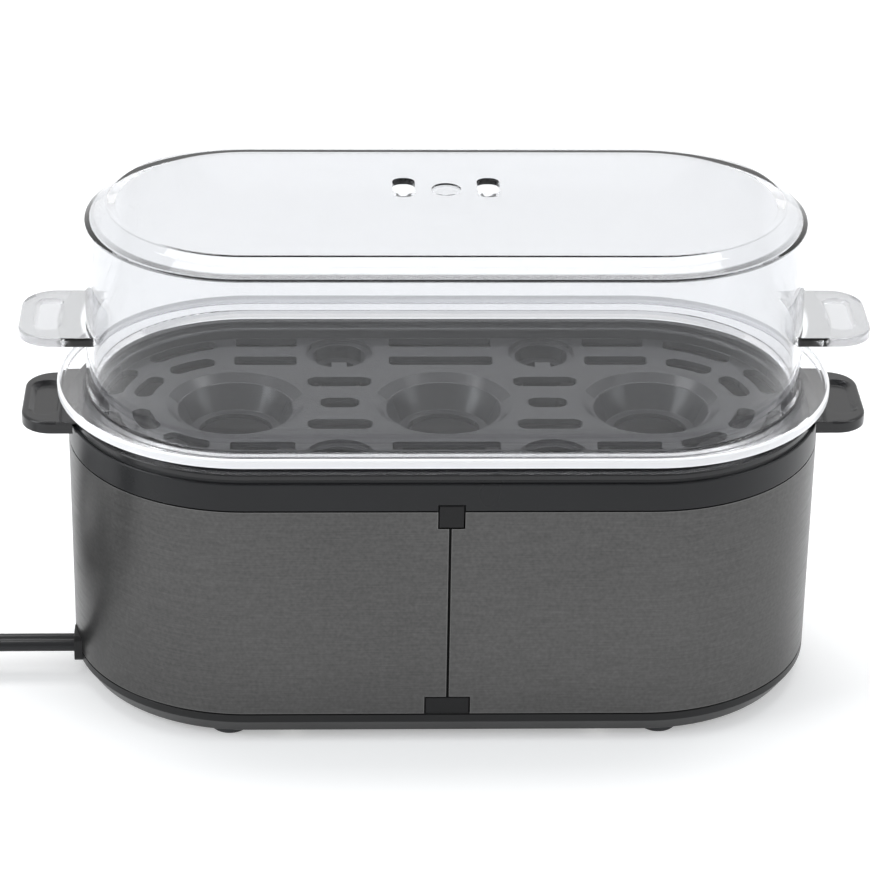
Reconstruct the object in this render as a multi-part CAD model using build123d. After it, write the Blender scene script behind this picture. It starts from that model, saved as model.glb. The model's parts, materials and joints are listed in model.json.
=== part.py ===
from build123d import *
import math
import os

# Electric egg cooker for three eggs, seen with the seam of its steel sleeve in front.
# Millimetres. The origin is on the table under the middle, +Z up, +X to the right of the
# seam side, and +Y towards the control side. Long outlines are two half circles joined by
# straight sides, and all of them share the same end centres.

os.makedirs("parts", exist_ok=True)

# Overall outline
END_OFFSET = 58.0
BODY_R = 52.9
FIT = 0.2
SEAT_GAP = 0.3

# Heights of the stack
FOOT_H = 2.0
BASE_H = 7.7
BASE_BAND_H = 2.8
SLEEVE_H = 66.8
COLLAR_H = 9.0
COLLAR_BEAD_H = 1.0
RACK_RIM_T = 1.8
LID_H = 62.2

BASE_UNDER_Z = FOOT_H
BASE_TOP_Z = BASE_UNDER_Z + BASE_H
SLEEVE_TOP_Z = BASE_TOP_Z + SLEEVE_H
COLLAR_TOP_Z = SLEEVE_TOP_Z + COLLAR_H
RACK_SEAT_Z = COLLAR_TOP_Z + COLLAR_BEAD_H
RACK_TOP_Z = RACK_SEAT_Z + RACK_RIM_T
LID_TOP_Z = RACK_TOP_Z + LID_H

# Base pan
BASE_WALL = 2.2
BASE_INSET = 3.4
UPSTAND_H = 7.3
UPSTAND_T = 2.2
BOSS_R = 4.0
SCREW_IN = 13.0
SCREW_EDGE = 6.6
SCREW_R = 1.7
SCREW_HEAD_R = 3.2
SCREW_HEAD_H = 2.0
SCREW_LEN = 14.0
BASE_VENTS = 7
BASE_VENT_W = 3.0
BASE_VENT_L = 30.0
BASE_VENT_PITCH = 6.0

# Feet
FOOT_R = 5.6
FOOT_OUT = 5.3
FOOT_EDGE = 10.4
FOOT_STEM_R = 2.3
FOOT_BARB_R = 3.0
FOOT_BARB_H = 1.2

# Steel sleeve
SLEEVE_T = 0.6
SEAM_X = 0.45
SEAM_W = 0.8
GROOVE_IN = 0.45
GROOVE_H = 0.45

# Seam clips
UPPER_CLIP_X = 0.8
UPPER_CLIP_W = 7.2
UPPER_CLIP_BELOW = 5.1
UPPER_CLIP_ABOVE = 2.0
LOWER_CLIP_X = 0.4
LOWER_CLIP_W = 12.8
LOWER_CLIP_H = 5.4
CLIP_T = 2.6
CLIP_GAP = 0.3

# Collar
COLLAR_WALL = 2.7
COLLAR_SKIRT_H = 8.5
COLLAR_SKIRT_T = 2.2
BEAD_INSET = 0.8
LEDGE_IN = 4.2
LEDGE_T = 2.6
LEDGE_DROP = 5.3
LEG_W = 8.0
LEG_ROOT_T = 5.6
LEG_FOOT_T = 9.6
LEG_FOOT_H = 16.0

# Gasket and dish
GASKET_T = 0.8
GASKET_W = 3.4
DISH_WALL = 1.4
DISH_RIM_T = 1.2
DISH_DEPTH = 19.8
DISH_TAPER = 3.1
DISH_CORNER = 5.0

# Egg rack
RACK_RIM_W = 8.4
RACK_PLATE_T = 2.0
RACK_DROP = 3.1
RACK_WALL = 1.8
RACK_EDGE_IN = 0.5
RACK_SKIRT_T = 1.4
RACK_SKIRT_H = 2.9
CUP_OUT = 3.57
CUP_R = 20.5
CUP_STEP = 2.0
CUP_STEP_W = 2.9
CUP_LEDGE = 0.5
CUP_FLOOR_R = 13.8
CUP_HOLE_R = 11.0
CUP_DEPTH = 9.2
CUP_WALL = 1.6
WELL_X = 30.8
WELL_EDGE = 10.0
WELL_R = 10.2
WELL_STEP = 1.3
WELL_MID_R = 8.0
WELL_WALL = 1.1
WELL_MID_DEPTH = 5.6
WELL_TUBE_R = 5.2
WELL_DEPTH = 17.4
WELL_TAB_W = 4.6
SLOT_W = 5.8
SLOT_CUP_GAP = 7.8
SLOT_EDGE = 3.1
SLOT_MID_LEN = 31.5
SLOT_SIDE_LEN = 19.1
SLOT_SIDE_IN = 4.9
INNER_SLOTS = ((19.5, 38.5), (59.5, 76.0), (104.0, 120.5), (141.5, 160.5))
OUTER_SLOTS = ((18.5, 43.0), (62.0, 78.0), (102.0, 118.0), (137.0, 161.5))
BAR_SLOT_W = 6.3
BAR_SLOTS = ((-14.0, 19.5), (0.0, 12.0), (14.0, 19.5))
RACK_TAB_OUT = 13.1
RACK_HANDLE_W = 34.0
RACK_HANDLE_T = 3.6
RACK_HANDLE_DROP = 1.3
RACK_HANDLE_ROUND = 9.0
RACK_DISH_W = 23.0
RACK_DISH_L = 9.8
RACK_DISH_IN = 1.8
RACK_TAB_ROOT = 4.0
RACK_DISH_DEPTH = 1.4
HANDLE_GAP = 0.5

# Lid
LID_T = 2.0
LID_SEAT_IN = 5.2
LID_DRAFT = 0.9
LID_SHOULDER_W = 6.6
LID_SHOULDER_H = 5.0
LID_INNER_DROP = 0.4
LID_INNER_IN = 2.4
FLANGE_W = 8.6
FLANGE_T = 2.0
FLANGE_SLOPE = 2.1
FLANGE_LIP_T = 1.8
FLANGE_LIP_H = 3.2
FLANGE_RISE = 4.6
LID_TAB_OUT = 18.8
LID_HANDLE_W = 34.0
LID_HANDLE_T = 2.6
LID_HANDLE_RISE = 25.7
LID_HANDLE_ROUND = 10.0
LID_DISH_W = 22.0
LID_DISH_L = 8.4
LID_DISH_IN = 4.2
LID_DISH_DEPTH = 0.9
VENT_X = 12.3
VENT_Y = 9.5
VENT_W = 6.6
VENT_L = 11.8
VENT_CORNER = 2.9
DIMPLE_Y = 7.3
DIMPLE_R = 4.3
DIMPLE_DEPTH = 0.6
LOCATOR_T = 1.0
LOCATOR_H = 1.0

# Heater
ELEMENT_R = 3.25
ELEMENT_OUT = 8.9
ELEMENT_IN = 20.5
ELEMENT_LEG_X = 7.0
ELEMENT_BEND = 8.0
ELEMENT_LEG_DROP = 13.2
STUD_X = 20.0
STUD_R = 2.0
STUD_LEN = 17.4
CLAMP_BAR_W = 10.0
CLAMP_BAR_T = 1.5
STRAP_T = 1.0
STRAP_W = 10.0
THERMOSTAT_R = 7.9
NUT_AF = 7.0
NUT_H = 3.2
SHIELD_T = 0.6
SHIELD_IN = 9.5
SHIELD_LIP_H = 4.0
FUSE_R = 2.0
FUSE_LEN = 14.0
FUSE_X = -30.0
BLADE_W = 6.3
BLADE_T = 0.8
BLADE_LEN = 8.0

# Controls
PANEL_Z = 44.0
BEZEL_HALF_X = 19.0
BEZEL_HALF_Z = 11.0
BEZEL_BODY_X = 16.0
BEZEL_BODY_Z = 8.2
BEZEL_T = 1.0
BEZEL_DEPTH = 3.7
HOUSING_DEPTH = 13.7
ROCKER_X = -6.5
ROCKER_W = 13.0
ROCKER_R = 5.5
ROCKER_FRONT = 5.7
ROCKER_DIP = 1.3
ROCKER_TILT = 7.0
ROCKER_GAP = 0.35
ROCKER_PIVOT_IN = 5.7
ROCKER_PIN_R = 1.2
ROCKER_PIN_LEN = 1.1
PIN_CLEAR = 0.05
LENS_X = 8.5
LENS_R = 3.4
LENS_PROUD = 0.7
LAMP_R = 2.5
LAMP_LEN = 9.0

# Cord entry
CORD_D = 6.6
CORD_Y = -12.0
CORD_Z = 10.2
GLAND_W = 9.4
GLAND_H = 8.6
GLAND_IN = 0.3
GLAND_LEN = 9.0
GLAND_BACK_T = 2.0
GLAND_BACK_EXTRA = 1.6
CLAMP_IN = 18.9
CLAMP_W = 8.0
CLAMP_H = 4.4
CLAMP_HALF_Y = 12.0
CLAMP_SCREW_Y = 8.0
CLAMP_SCREW_R = 1.4
TAIL_IN = 30.9
BLOCK_IN = 38.9
BLOCK_LEN = 26.0
BLOCK_W = 16.0
BLOCK_H = 13.8
WIRE_R = 0.9
WIRE_DROP = 8.6

# Free lead: a coil put away beside the left end, in two layers, and its plug
COIL_X = -198.0
COIL_Z = 4.0
COIL_START_Y = -13.0
COIL_LAYER = 7.1
COIL_RADII = (43.0, 39.5, 35.9, 31.7, 30.6, 35.8)
COIL_CLIMB = 3
COIL_EXIT_R = 37.9
LEAD_ROUTE = ((-124.0, -12.0, 10.2), (-143.0, -12.2, 10.2), (-158.0, -13.0, 4.0))
END_ROUTE = (
    (-160.1, 6.0, 11.1),
    (-163.0, -13.0, 11.4),
    (-171.0, -30.0, 9.4),
    (-185.0, -42.5, 6.9),
    (-204.0, -48.5, 6.9),
)
TIE_T = 0.45
TIE_W = 6.0
TIE_GAP = 0.2
PLUG_W = 35.3
PLUG_T = 13.7
PLUG_LEN = 36.0
PLUG_BOOT = 10.0
PLUG_BOOT_R = 4.6
PIN_R = 2.0
PIN_LEN = 19.0
PIN_PITCH = 18.6


def outline(radius, offset=END_OFFSET):
    """The long outline at one radius, as a flat sketch."""
    return SlotCenterToCenter(2 * offset, 2 * radius)


def slab(radius, low, high):
    """A solid with the long outline between two heights."""
    return extrude(Pos(0, 0, low) * outline(radius), amount=high - low)


def rounded(points, rounds=()):
    """A face through the points, with the named corners rounded."""
    face = make_face(Polyline(*points, close=True))
    for corner, radius in rounds:
        vertex = face.vertices().sort_by_distance(Vector(*corner))[0]
        face = fillet(vertex, radius)
    return face


def stadium_turn(face, offset=END_OFFSET):
    """Carries a section, given as radius and height, round the long outline."""
    section = (Plane.XZ * face).rotate(Axis.Z, -90)
    cap = Pos(offset, 0, 0) * revolve(section, Axis.Z, 180)
    side = extrude(Pos(-offset, 0, 0) * section, amount=2 * offset, dir=(1, 0, 0))
    half = cap + side
    return half + half.rotate(Axis.Z, 180)


def block(x, y, z):
    """A box between two corners, given as three ranges."""
    size = (x[1] - x[0], y[1] - y[0], z[1] - z[0])
    place = Pos((x[0] + x[1]) / 2, (y[0] + y[1]) / 2, (z[0] + z[1]) / 2)
    return place * Box(*size)


def rod(radius, low, high, x=0.0, y=0.0):
    """An upright cylinder between two heights."""
    return Pos(x, y, (low + high) / 2) * Cylinder(radius, high - low)


def rod_y(radius, near, far, x, z):
    """A cylinder along Y between two places."""
    return Pos(x, (near + far) / 2, z) * Rot(90, 0, 0) * Cylinder(radius, far - near)


def rod_x(radius, left, right, y, z):
    """A cylinder along X between two places."""
    return Pos((left + right) / 2, y, z) * Rot(0, 90, 0) * Cylinder(radius, right - left)


def corners(x, y):
    """The four places that mirror each other about both middle planes."""
    return [(sx * x, sy * y) for sx in (-1, 1) for sy in (-1, 1)]


def tube(points, radii, radius):
    """A round tube along straight runs joined by tangent arcs."""
    path = FilletPolyline(*points, radius=radii)
    section = Plane(origin=path @ 0, z_dir=path % 0) * Circle(radius)
    return sweep(section, path=path)


def bend_radii(points, share=0.45):
    """One radius for each corner, as large as its two runs allow."""
    radii = []
    for before, here, after in zip(points, points[1:], points[2:]):
        first = Vector(*here) - Vector(*before)
        second = Vector(*after) - Vector(*here)
        half_turn = math.radians(first.get_angle(second)) / 2
        radii.append(share * min(first.length, second.length) / math.tan(half_turn))
    return radii


def wire(points, bend=2.5):
    """One insulated core along its route."""
    return tube(points, [bend] * (len(points) - 2), WIRE_R)


def save(shape, name):
    """Writes one sub-part and reports its solids."""
    export_step(shape, f"parts/{name}.step")
    print(name, len(shape.solids()), "solids", round(shape.volume, 1), "mm3")


# Shared places worked out from the sizes above
SLEEVE_IN = BODY_R - SLEEVE_T
UPSTAND_OUT = SLEEVE_IN - FIT
BASE_FLOOR_Z = BASE_UNDER_Z + BASE_WALL
SCREW_Y = BODY_R - SCREW_EDGE
BOSS_TOP_Z = BASE_TOP_Z + UPSTAND_H
LEDGE_TOP_Z = COLLAR_TOP_Z - LEDGE_DROP
LEDGE_BOTTOM_Z = LEDGE_TOP_Z - LEDGE_T
COLLAR_IN = BODY_R - COLLAR_WALL
RACK_EDGE_R = BODY_R - RACK_EDGE_IN
RACK_IN = RACK_EDGE_R - RACK_RIM_W
LEDGE_R = COLLAR_IN - LEDGE_IN
DISH_SEAT_Z = LEDGE_TOP_Z + GASKET_T
DISH_TOP_Z = DISH_SEAT_Z + DISH_RIM_T
DISH_UNDER_Z = DISH_TOP_Z - DISH_DEPTH
DISH_MOUTH_R = LEDGE_R - 2 * FIT
DISH_FLOOR_R = DISH_MOUTH_R - DISH_TAPER
CUP_PITCH = END_OFFSET + CUP_OUT
WELL_Y = RACK_IN - WELL_EDGE
SLOT_INNER_R = CUP_R + SLOT_CUP_GAP
SLOT_OUTER_R = RACK_IN - SLOT_EDGE
LID_BOTTOM_R = RACK_EDGE_R - LID_SEAT_IN
LID_TOP_R = LID_BOTTOM_R - LID_DRAFT
LID_PANEL_R = LID_TOP_R - LID_SHOULDER_W
FLANGE_R = LID_BOTTOM_R + FLANGE_W
ELEMENT_HALF_X = END_OFFSET + ELEMENT_OUT
ELEMENT_HALF_Y = DISH_FLOOR_R - ELEMENT_IN
SHIELD_R = DISH_FLOOR_R - SHIELD_IN
SCREW_X = END_OFFSET - SCREW_IN
FOOT_X = END_OFFSET + FOOT_OUT
FOOT_Y = BODY_R - FOOT_EDGE
BODY_END_X = END_OFFSET + BODY_R
GLAND_FACE_X = -BODY_END_X + GLAND_IN
GLAND_BACK_X = GLAND_FACE_X + GLAND_LEN
CLAMP_X = -BODY_END_X + CLAMP_IN
TAIL_END_X = -BODY_END_X + TAIL_IN
BLOCK_X = (-BODY_END_X + BLOCK_IN, -BODY_END_X + BLOCK_IN + BLOCK_LEN)
RACK_PLANE_Z = RACK_TOP_Z - RACK_DROP
FLANGE_TOP_Z = RACK_TOP_Z + FLANGE_RISE
ELEMENT_Z = DISH_UNDER_Z - ELEMENT_R
BAR_TOP_Z = ELEMENT_Z - ELEMENT_R
STRAP_TOP_Z = BAR_TOP_Z - CLAMP_BAR_T
STRAP_BOTTOM_Z = STRAP_TOP_Z - STRAP_T
SHIELD_TOP_Z = STRAP_BOTTOM_Z - NUT_H
SHIELD_BOTTOM_Z = SHIELD_TOP_Z - SHIELD_T
ELEMENT_TIP_Z = ELEMENT_Z - ELEMENT_LEG_DROP
BEZEL_BACK_Y = BODY_R - BEZEL_DEPTH
HOUSING_BACK_Y = BEZEL_BACK_Y - HOUSING_DEPTH
PIVOT_Y = BODY_R - ROCKER_PIVOT_IN
LENS_BACK_Y = BEZEL_BACK_Y
BLADE_TIP_Y = HOUSING_BACK_Y - BLADE_LEN
BLADE_X = (-10.0, -3.0, 4.0)
THERMOSTAT_BLADE_Y = 6.4
BLOCK_Y = (CORD_Y - BLOCK_W / 2, CORD_Y + BLOCK_W / 2)
CORD_R = CORD_D / 2


def base_shell():
    """The pan under the sleeve: floor, edge band, upstand, bosses and openings."""
    band_z = BASE_TOP_Z - BASE_BAND_H
    upstand_in = UPSTAND_OUT - UPSTAND_T
    inner_r = upstand_in - BASE_INSET + 1.0
    points = [
        (0, BASE_UNDER_Z),
        (BODY_R - BASE_INSET, BASE_UNDER_Z),
        (BODY_R, band_z),
        (BODY_R, BASE_TOP_Z - GROOVE_H),
        (BODY_R - GROOVE_IN, BASE_TOP_Z - GROOVE_H),
        (BODY_R - GROOVE_IN, BASE_TOP_Z),
        (UPSTAND_OUT, BASE_TOP_Z),
        (UPSTAND_OUT, BOSS_TOP_Z),
        (upstand_in, BOSS_TOP_Z),
        (upstand_in, band_z + BASE_WALL / 2),
        (inner_r, BASE_FLOOR_Z),
        (0, BASE_FLOOR_Z),
    ]
    rounds = [((BODY_R - BASE_INSET, BASE_UNDER_Z), 1.2), ((BODY_R, band_z), 0.6)]
    shell = stadium_turn(rounded(points, rounds))
    for x, y in corners(SCREW_X, SCREW_Y):
        shell += rod(BOSS_R, BASE_UNDER_Z + SCREW_HEAD_H, BOSS_TOP_Z, x, y)
    for x, y in corners(SCREW_X, SCREW_Y):
        shell -= rod(SCREW_R + FIT, BASE_UNDER_Z, BOSS_TOP_Z, x, y)
        shell -= rod(SCREW_HEAD_R + FIT, BASE_UNDER_Z, BASE_UNDER_Z + SCREW_HEAD_H, x, y)
    for x, y in corners(FOOT_X, FOOT_Y):
        shell -= rod(FOOT_STEM_R + FIT / 2, BASE_UNDER_Z, BASE_FLOOR_Z, x, y)
    for i in range(BASE_VENTS):
        x = (i - (BASE_VENTS - 1) / 2) * BASE_VENT_PITCH
        shell -= Pos(x, 0, BASE_UNDER_Z + BASE_WALL / 2) * extrude(
            SlotOverall(BASE_VENT_L, BASE_VENT_W, rotation=90), amount=BASE_WALL, both=True
        )
    shell -= cord_window()
    shell -= lower_clip_pocket(CLIP_GAP)
    clamp_x = (CLAMP_X - CLAMP_W / 2, CLAMP_X + CLAMP_W / 2)
    shell += block(clamp_x, (CORD_Y - 4, CORD_Y + 4), (BASE_FLOOR_Z, CORD_Z - CORD_R))
    for side in (-1, 1):
        y = CORD_Y + side * CLAMP_SCREW_Y
        shell += rod(3.5, BASE_FLOOR_Z, CORD_Z, CLAMP_X, y)
        shell -= rod(CLAMP_SCREW_R + PIN_CLEAR, BASE_FLOOR_Z, CORD_Z, CLAMP_X, y)
    return shell


def cord_window():
    """The opening in the left end that the cord bush sits in."""
    half = GLAND_W / 2 + FIT
    low = CORD_Z - GLAND_H / 2 - FIT / 2
    high = CORD_Z + GLAND_H / 2 + FIT / 2
    x = (-BODY_END_X - 1, GLAND_BACK_X + 1)
    return block(x, (CORD_Y - half, CORD_Y + half), (low, high))


def lower_clip_pocket(gap):
    """The space of the lower seam clip, grown by a gap."""
    half = LOWER_CLIP_W / 2 + gap
    x = (LOWER_CLIP_X - half, LOWER_CLIP_X + half)
    return block(x, (-BODY_R - 1, -BODY_R + CLIP_T), (BASE_TOP_Z, BASE_TOP_Z + LOWER_CLIP_H + gap))


def upper_clip_pocket(gap):
    """The space of the upper seam clip, grown by a gap."""
    half = UPPER_CLIP_W / 2 + gap
    x = (UPPER_CLIP_X - half, UPPER_CLIP_X + half)
    z = (SLEEVE_TOP_Z - UPPER_CLIP_BELOW - gap, SLEEVE_TOP_Z + UPPER_CLIP_ABOVE + gap)
    return block(x, (-BODY_R - 1, -BODY_R + CLIP_T), z)


def seam_clip(pocket):
    """A clip that fills its pocket, flush with the sleeve's face."""
    clip = pocket - block((-END_OFFSET, END_OFFSET), (-BODY_R - 2, -BODY_R), (0, LID_TOP_Z))
    front = clip.faces().sort_by(Axis.Y)[0]
    return chamfer(front.edges(), 0.25)


def rubber_feet():
    """Four feet pushed through the floor, each with a barb above it."""
    feet = []
    for x, y in corners(FOOT_X, FOOT_Y):
        pad = rod(FOOT_R, 0, FOOT_H, x, y)
        pad = fillet(pad.edges().sort_by(Axis.Z)[0], 0.6)
        stem = rod(FOOT_STEM_R, FOOT_H, BASE_FLOOR_Z + FIT, x, y)
        barb = rod(FOOT_BARB_R, BASE_FLOOR_Z + FIT, BASE_FLOOR_Z + FIT + FOOT_BARB_H, x, y)
        feet.append(pad + stem + barb)
    return Compound(children=feet)


def base_screws():
    """Four screws from below, through the base into the collar's legs."""
    screws = []
    for x, y in corners(SCREW_X, SCREW_Y):
        head_z = BASE_UNDER_Z + SCREW_HEAD_H
        head = rod(SCREW_HEAD_R, head_z - SCREW_HEAD_H + FIT, head_z, x, y)
        head -= cross_recess(x, y, head_z - SCREW_HEAD_H + FIT)
        screws.append(head + rod(SCREW_R, head_z, head_z + SCREW_LEN, x, y))
    return Compound(children=screws)


def cross_recess(x, y, z):
    """The driver recess of one screw, cut upward from its head's face."""
    bar = block((x - 1.8, x + 1.8), (y - 0.4, y + 0.4), (z, z + 1.0))
    return bar + block((x - 0.4, x + 0.4), (y - 1.8, y + 1.8), (z, z + 1.0))


def outer_sleeve():
    """The wrapped steel sheet with its seam, clip notches, cord notch and panel opening."""
    sleeve = slab(BODY_R, BASE_TOP_Z, SLEEVE_TOP_Z) - slab(SLEEVE_IN, BASE_TOP_Z, SLEEVE_TOP_Z)
    seam_x = (SEAM_X - SEAM_W / 2, SEAM_X + SEAM_W / 2)
    sleeve -= block(seam_x, (-BODY_R - 1, -SLEEVE_IN + 1), (BASE_TOP_Z, SLEEVE_TOP_Z))
    sleeve -= upper_clip_pocket(CLIP_GAP)
    sleeve -= lower_clip_pocket(CLIP_GAP)
    sleeve -= cord_window()
    half_x = BEZEL_BODY_X + FIT
    half_z = BEZEL_BODY_Z + FIT
    sleeve -= block((-half_x, half_x), (0, BODY_R + 1), (PANEL_Z - half_z, PANEL_Z + half_z))
    return sleeve


def upper_collar():
    """The dark ring on the sleeve: wall, bead, dish ledge, inner skirt and screw legs."""
    skirt_out = SLEEVE_IN - FIT
    skirt_in = skirt_out - COLLAR_SKIRT_T
    skirt_z = SLEEVE_TOP_Z - COLLAR_SKIRT_H
    bead_r = BODY_R - BEAD_INSET
    points = [
        (BODY_R - GROOVE_IN, SLEEVE_TOP_Z),
        (BODY_R - GROOVE_IN, SLEEVE_TOP_Z + GROOVE_H),
        (BODY_R, SLEEVE_TOP_Z + GROOVE_H),
        (BODY_R, COLLAR_TOP_Z),
        (bead_r, COLLAR_TOP_Z),
        (bead_r, RACK_SEAT_Z),
        (COLLAR_IN, RACK_SEAT_Z),
        (COLLAR_IN, LEDGE_TOP_Z),
        (LEDGE_R, LEDGE_TOP_Z),
        (LEDGE_R, LEDGE_BOTTOM_Z),
        (skirt_in, LEDGE_BOTTOM_Z),
        (skirt_in, skirt_z),
        (skirt_out, skirt_z),
        (skirt_out, SLEEVE_TOP_Z),
    ]
    collar = stadium_turn(rounded(points, [((BODY_R, COLLAR_TOP_Z), 0.5)]))
    for x, y in corners(SCREW_X, 1):
        leg_x = (x - LEG_W / 2, x + LEG_W / 2)
        root = sorted((y * skirt_out, y * (skirt_out - LEG_ROOT_T)))
        foot = sorted((y * (skirt_out - UPSTAND_T - FIT), y * (skirt_out - LEG_FOOT_T)))
        upper_z = BOSS_TOP_Z + FIT
        collar += block(leg_x, root, (upper_z, skirt_z + 2))
        collar += block(leg_x, foot, (BOSS_TOP_Z, BOSS_TOP_Z + LEG_FOOT_H))
        pilot_top = BASE_UNDER_Z + SCREW_HEAD_H + SCREW_LEN + 2
        collar -= rod(SCREW_R + PIN_CLEAR, BOSS_TOP_Z - 1, pilot_top, x, y * SCREW_Y)
    collar -= upper_clip_pocket(CLIP_GAP)
    return collar


def dish_gasket():
    """The flat seal between the collar's ledge and the dish rim."""
    outer = COLLAR_IN - FIT
    ring = slab(outer, LEDGE_TOP_Z, DISH_SEAT_Z)
    return ring - slab(outer - GASKET_W, LEDGE_TOP_Z, DISH_SEAT_Z)


def heating_dish():
    """The metal water dish with its flat rim and two studs under the floor."""
    rim_r = COLLAR_IN - 2 * FIT
    inner_mouth = DISH_MOUTH_R - DISH_WALL
    inner_floor = DISH_FLOOR_R - DISH_WALL
    floor_z = DISH_UNDER_Z + DISH_WALL
    points = [
        (0, DISH_UNDER_Z),
        (DISH_FLOOR_R, DISH_UNDER_Z),
        (DISH_MOUTH_R, DISH_SEAT_Z),
        (rim_r, DISH_SEAT_Z),
        (rim_r, DISH_TOP_Z),
        (inner_mouth, DISH_TOP_Z),
        (inner_floor, floor_z),
        (0, floor_z),
    ]
    rounds = [
        ((DISH_FLOOR_R, DISH_UNDER_Z), DISH_CORNER),
        ((inner_floor, floor_z), DISH_CORNER - DISH_WALL),
    ]
    dish = stadium_turn(rounded(points, rounds))
    for x in (-STUD_X, STUD_X):
        dish += rod(STUD_R, DISH_UNDER_Z - STUD_LEN, DISH_UNDER_Z, x, 0)
    return dish


def ring_slot(radius, start, stop, centre, side):
    """One slot of a ring round an end, as a bent slot between two angles from +Y."""
    mid = math.radians((start + stop) / 2)
    first = math.radians(start)
    last = math.radians(stop)

    def place(angle):
        return (side * (centre + radius * math.sin(angle)), radius * math.cos(angle))

    arc = ThreePointArc(place(first), place(mid), place(last))
    return SlotArc(arc, SLOT_W)


def rack_slots():
    """Every steam slot of the rack, as flat sketches."""
    slots = []
    for radius in (SLOT_INNER_R, SLOT_OUTER_R):
        for y in (-radius, radius):
            slots.append(Pos(0, y) * RectangleRounded(SLOT_MID_LEN, SLOT_W, SLOT_W / 4))
            for side in (-1, 1):
                middle = side * (END_OFFSET - SLOT_SIDE_IN)
                slots.append(Pos(middle, y) * RectangleRounded(SLOT_SIDE_LEN, SLOT_W, SLOT_W / 4))
    for side in (-1, 1):
        for start, stop in INNER_SLOTS:
            slots.append(ring_slot(SLOT_INNER_R, start, stop, CUP_PITCH, side))
        for start, stop in OUTER_SLOTS:
            slots.append(ring_slot(SLOT_OUTER_R, start, stop, END_OFFSET, side))
        for y, length in BAR_SLOTS:
            slots.append(Pos(side * CUP_PITCH / 2, y) * SlotOverall(length, BAR_SLOT_W))
    return slots


def cup_profile(inner):
    """The section of one egg cup, its inner space or its outer body."""
    plane = RACK_PLANE_Z
    floor = plane - CUP_DEPTH
    if inner:
        step_r = CUP_R - CUP_STEP_W
        return [
            (0, plane + 1),
            (CUP_R, plane + 1),
            (CUP_R, plane),
            (step_r, plane - CUP_STEP),
            (step_r - CUP_LEDGE, plane - CUP_STEP),
            (CUP_FLOOR_R, floor),
            (0, floor),
        ]
    low = floor - CUP_WALL
    return [
        (0, plane - RACK_PLATE_T),
        (CUP_R + CUP_WALL, plane - RACK_PLATE_T),
        (CUP_R + CUP_WALL / 2, plane - CUP_STEP - CUP_WALL),
        (CUP_FLOOR_R + CUP_WALL, low),
        (0, low),
    ]


def spin(points):
    """A solid of revolution about Z from radius and height points."""
    return revolve(Plane.XZ * make_face(Polyline(*points, close=True)), Axis.Z, 360)


def finger_tab(tip, width, thick, top, round_r, root, dish_size, dish_in):
    """A flat rounded handle tab on the right end, with a shallow finger dish."""
    dish_len, dish_w, dish_depth = dish_size
    length = tip - root
    plate = Pos(root + length / 2, 0) * Rectangle(length, width)
    plate = fillet(plate.vertices().group_by(Axis.X)[-1], round_r)
    tab = extrude(Pos(0, 0, top - thick) * plate, amount=thick)
    tab = fillet(tab.edges().group_by(Axis.Z)[-1].filter_by(GeomType.CIRCLE), 0.8)
    dish_mid = tip - dish_in - dish_len / 2
    slope = dish_depth * 1.2
    dish_r = dish_len / 2 - 0.1
    dish = Pos(dish_mid, 0) * RectangleRounded(dish_len, dish_w, dish_r)
    floor = Pos(dish_mid, 0) * RectangleRounded(dish_len - 2 * slope, dish_w - 2 * slope, dish_r - slope)
    tab -= loft([Pos(0, 0, top - dish_depth) * floor, Pos(0, 0, top + 0.01) * dish])
    return tab


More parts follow.
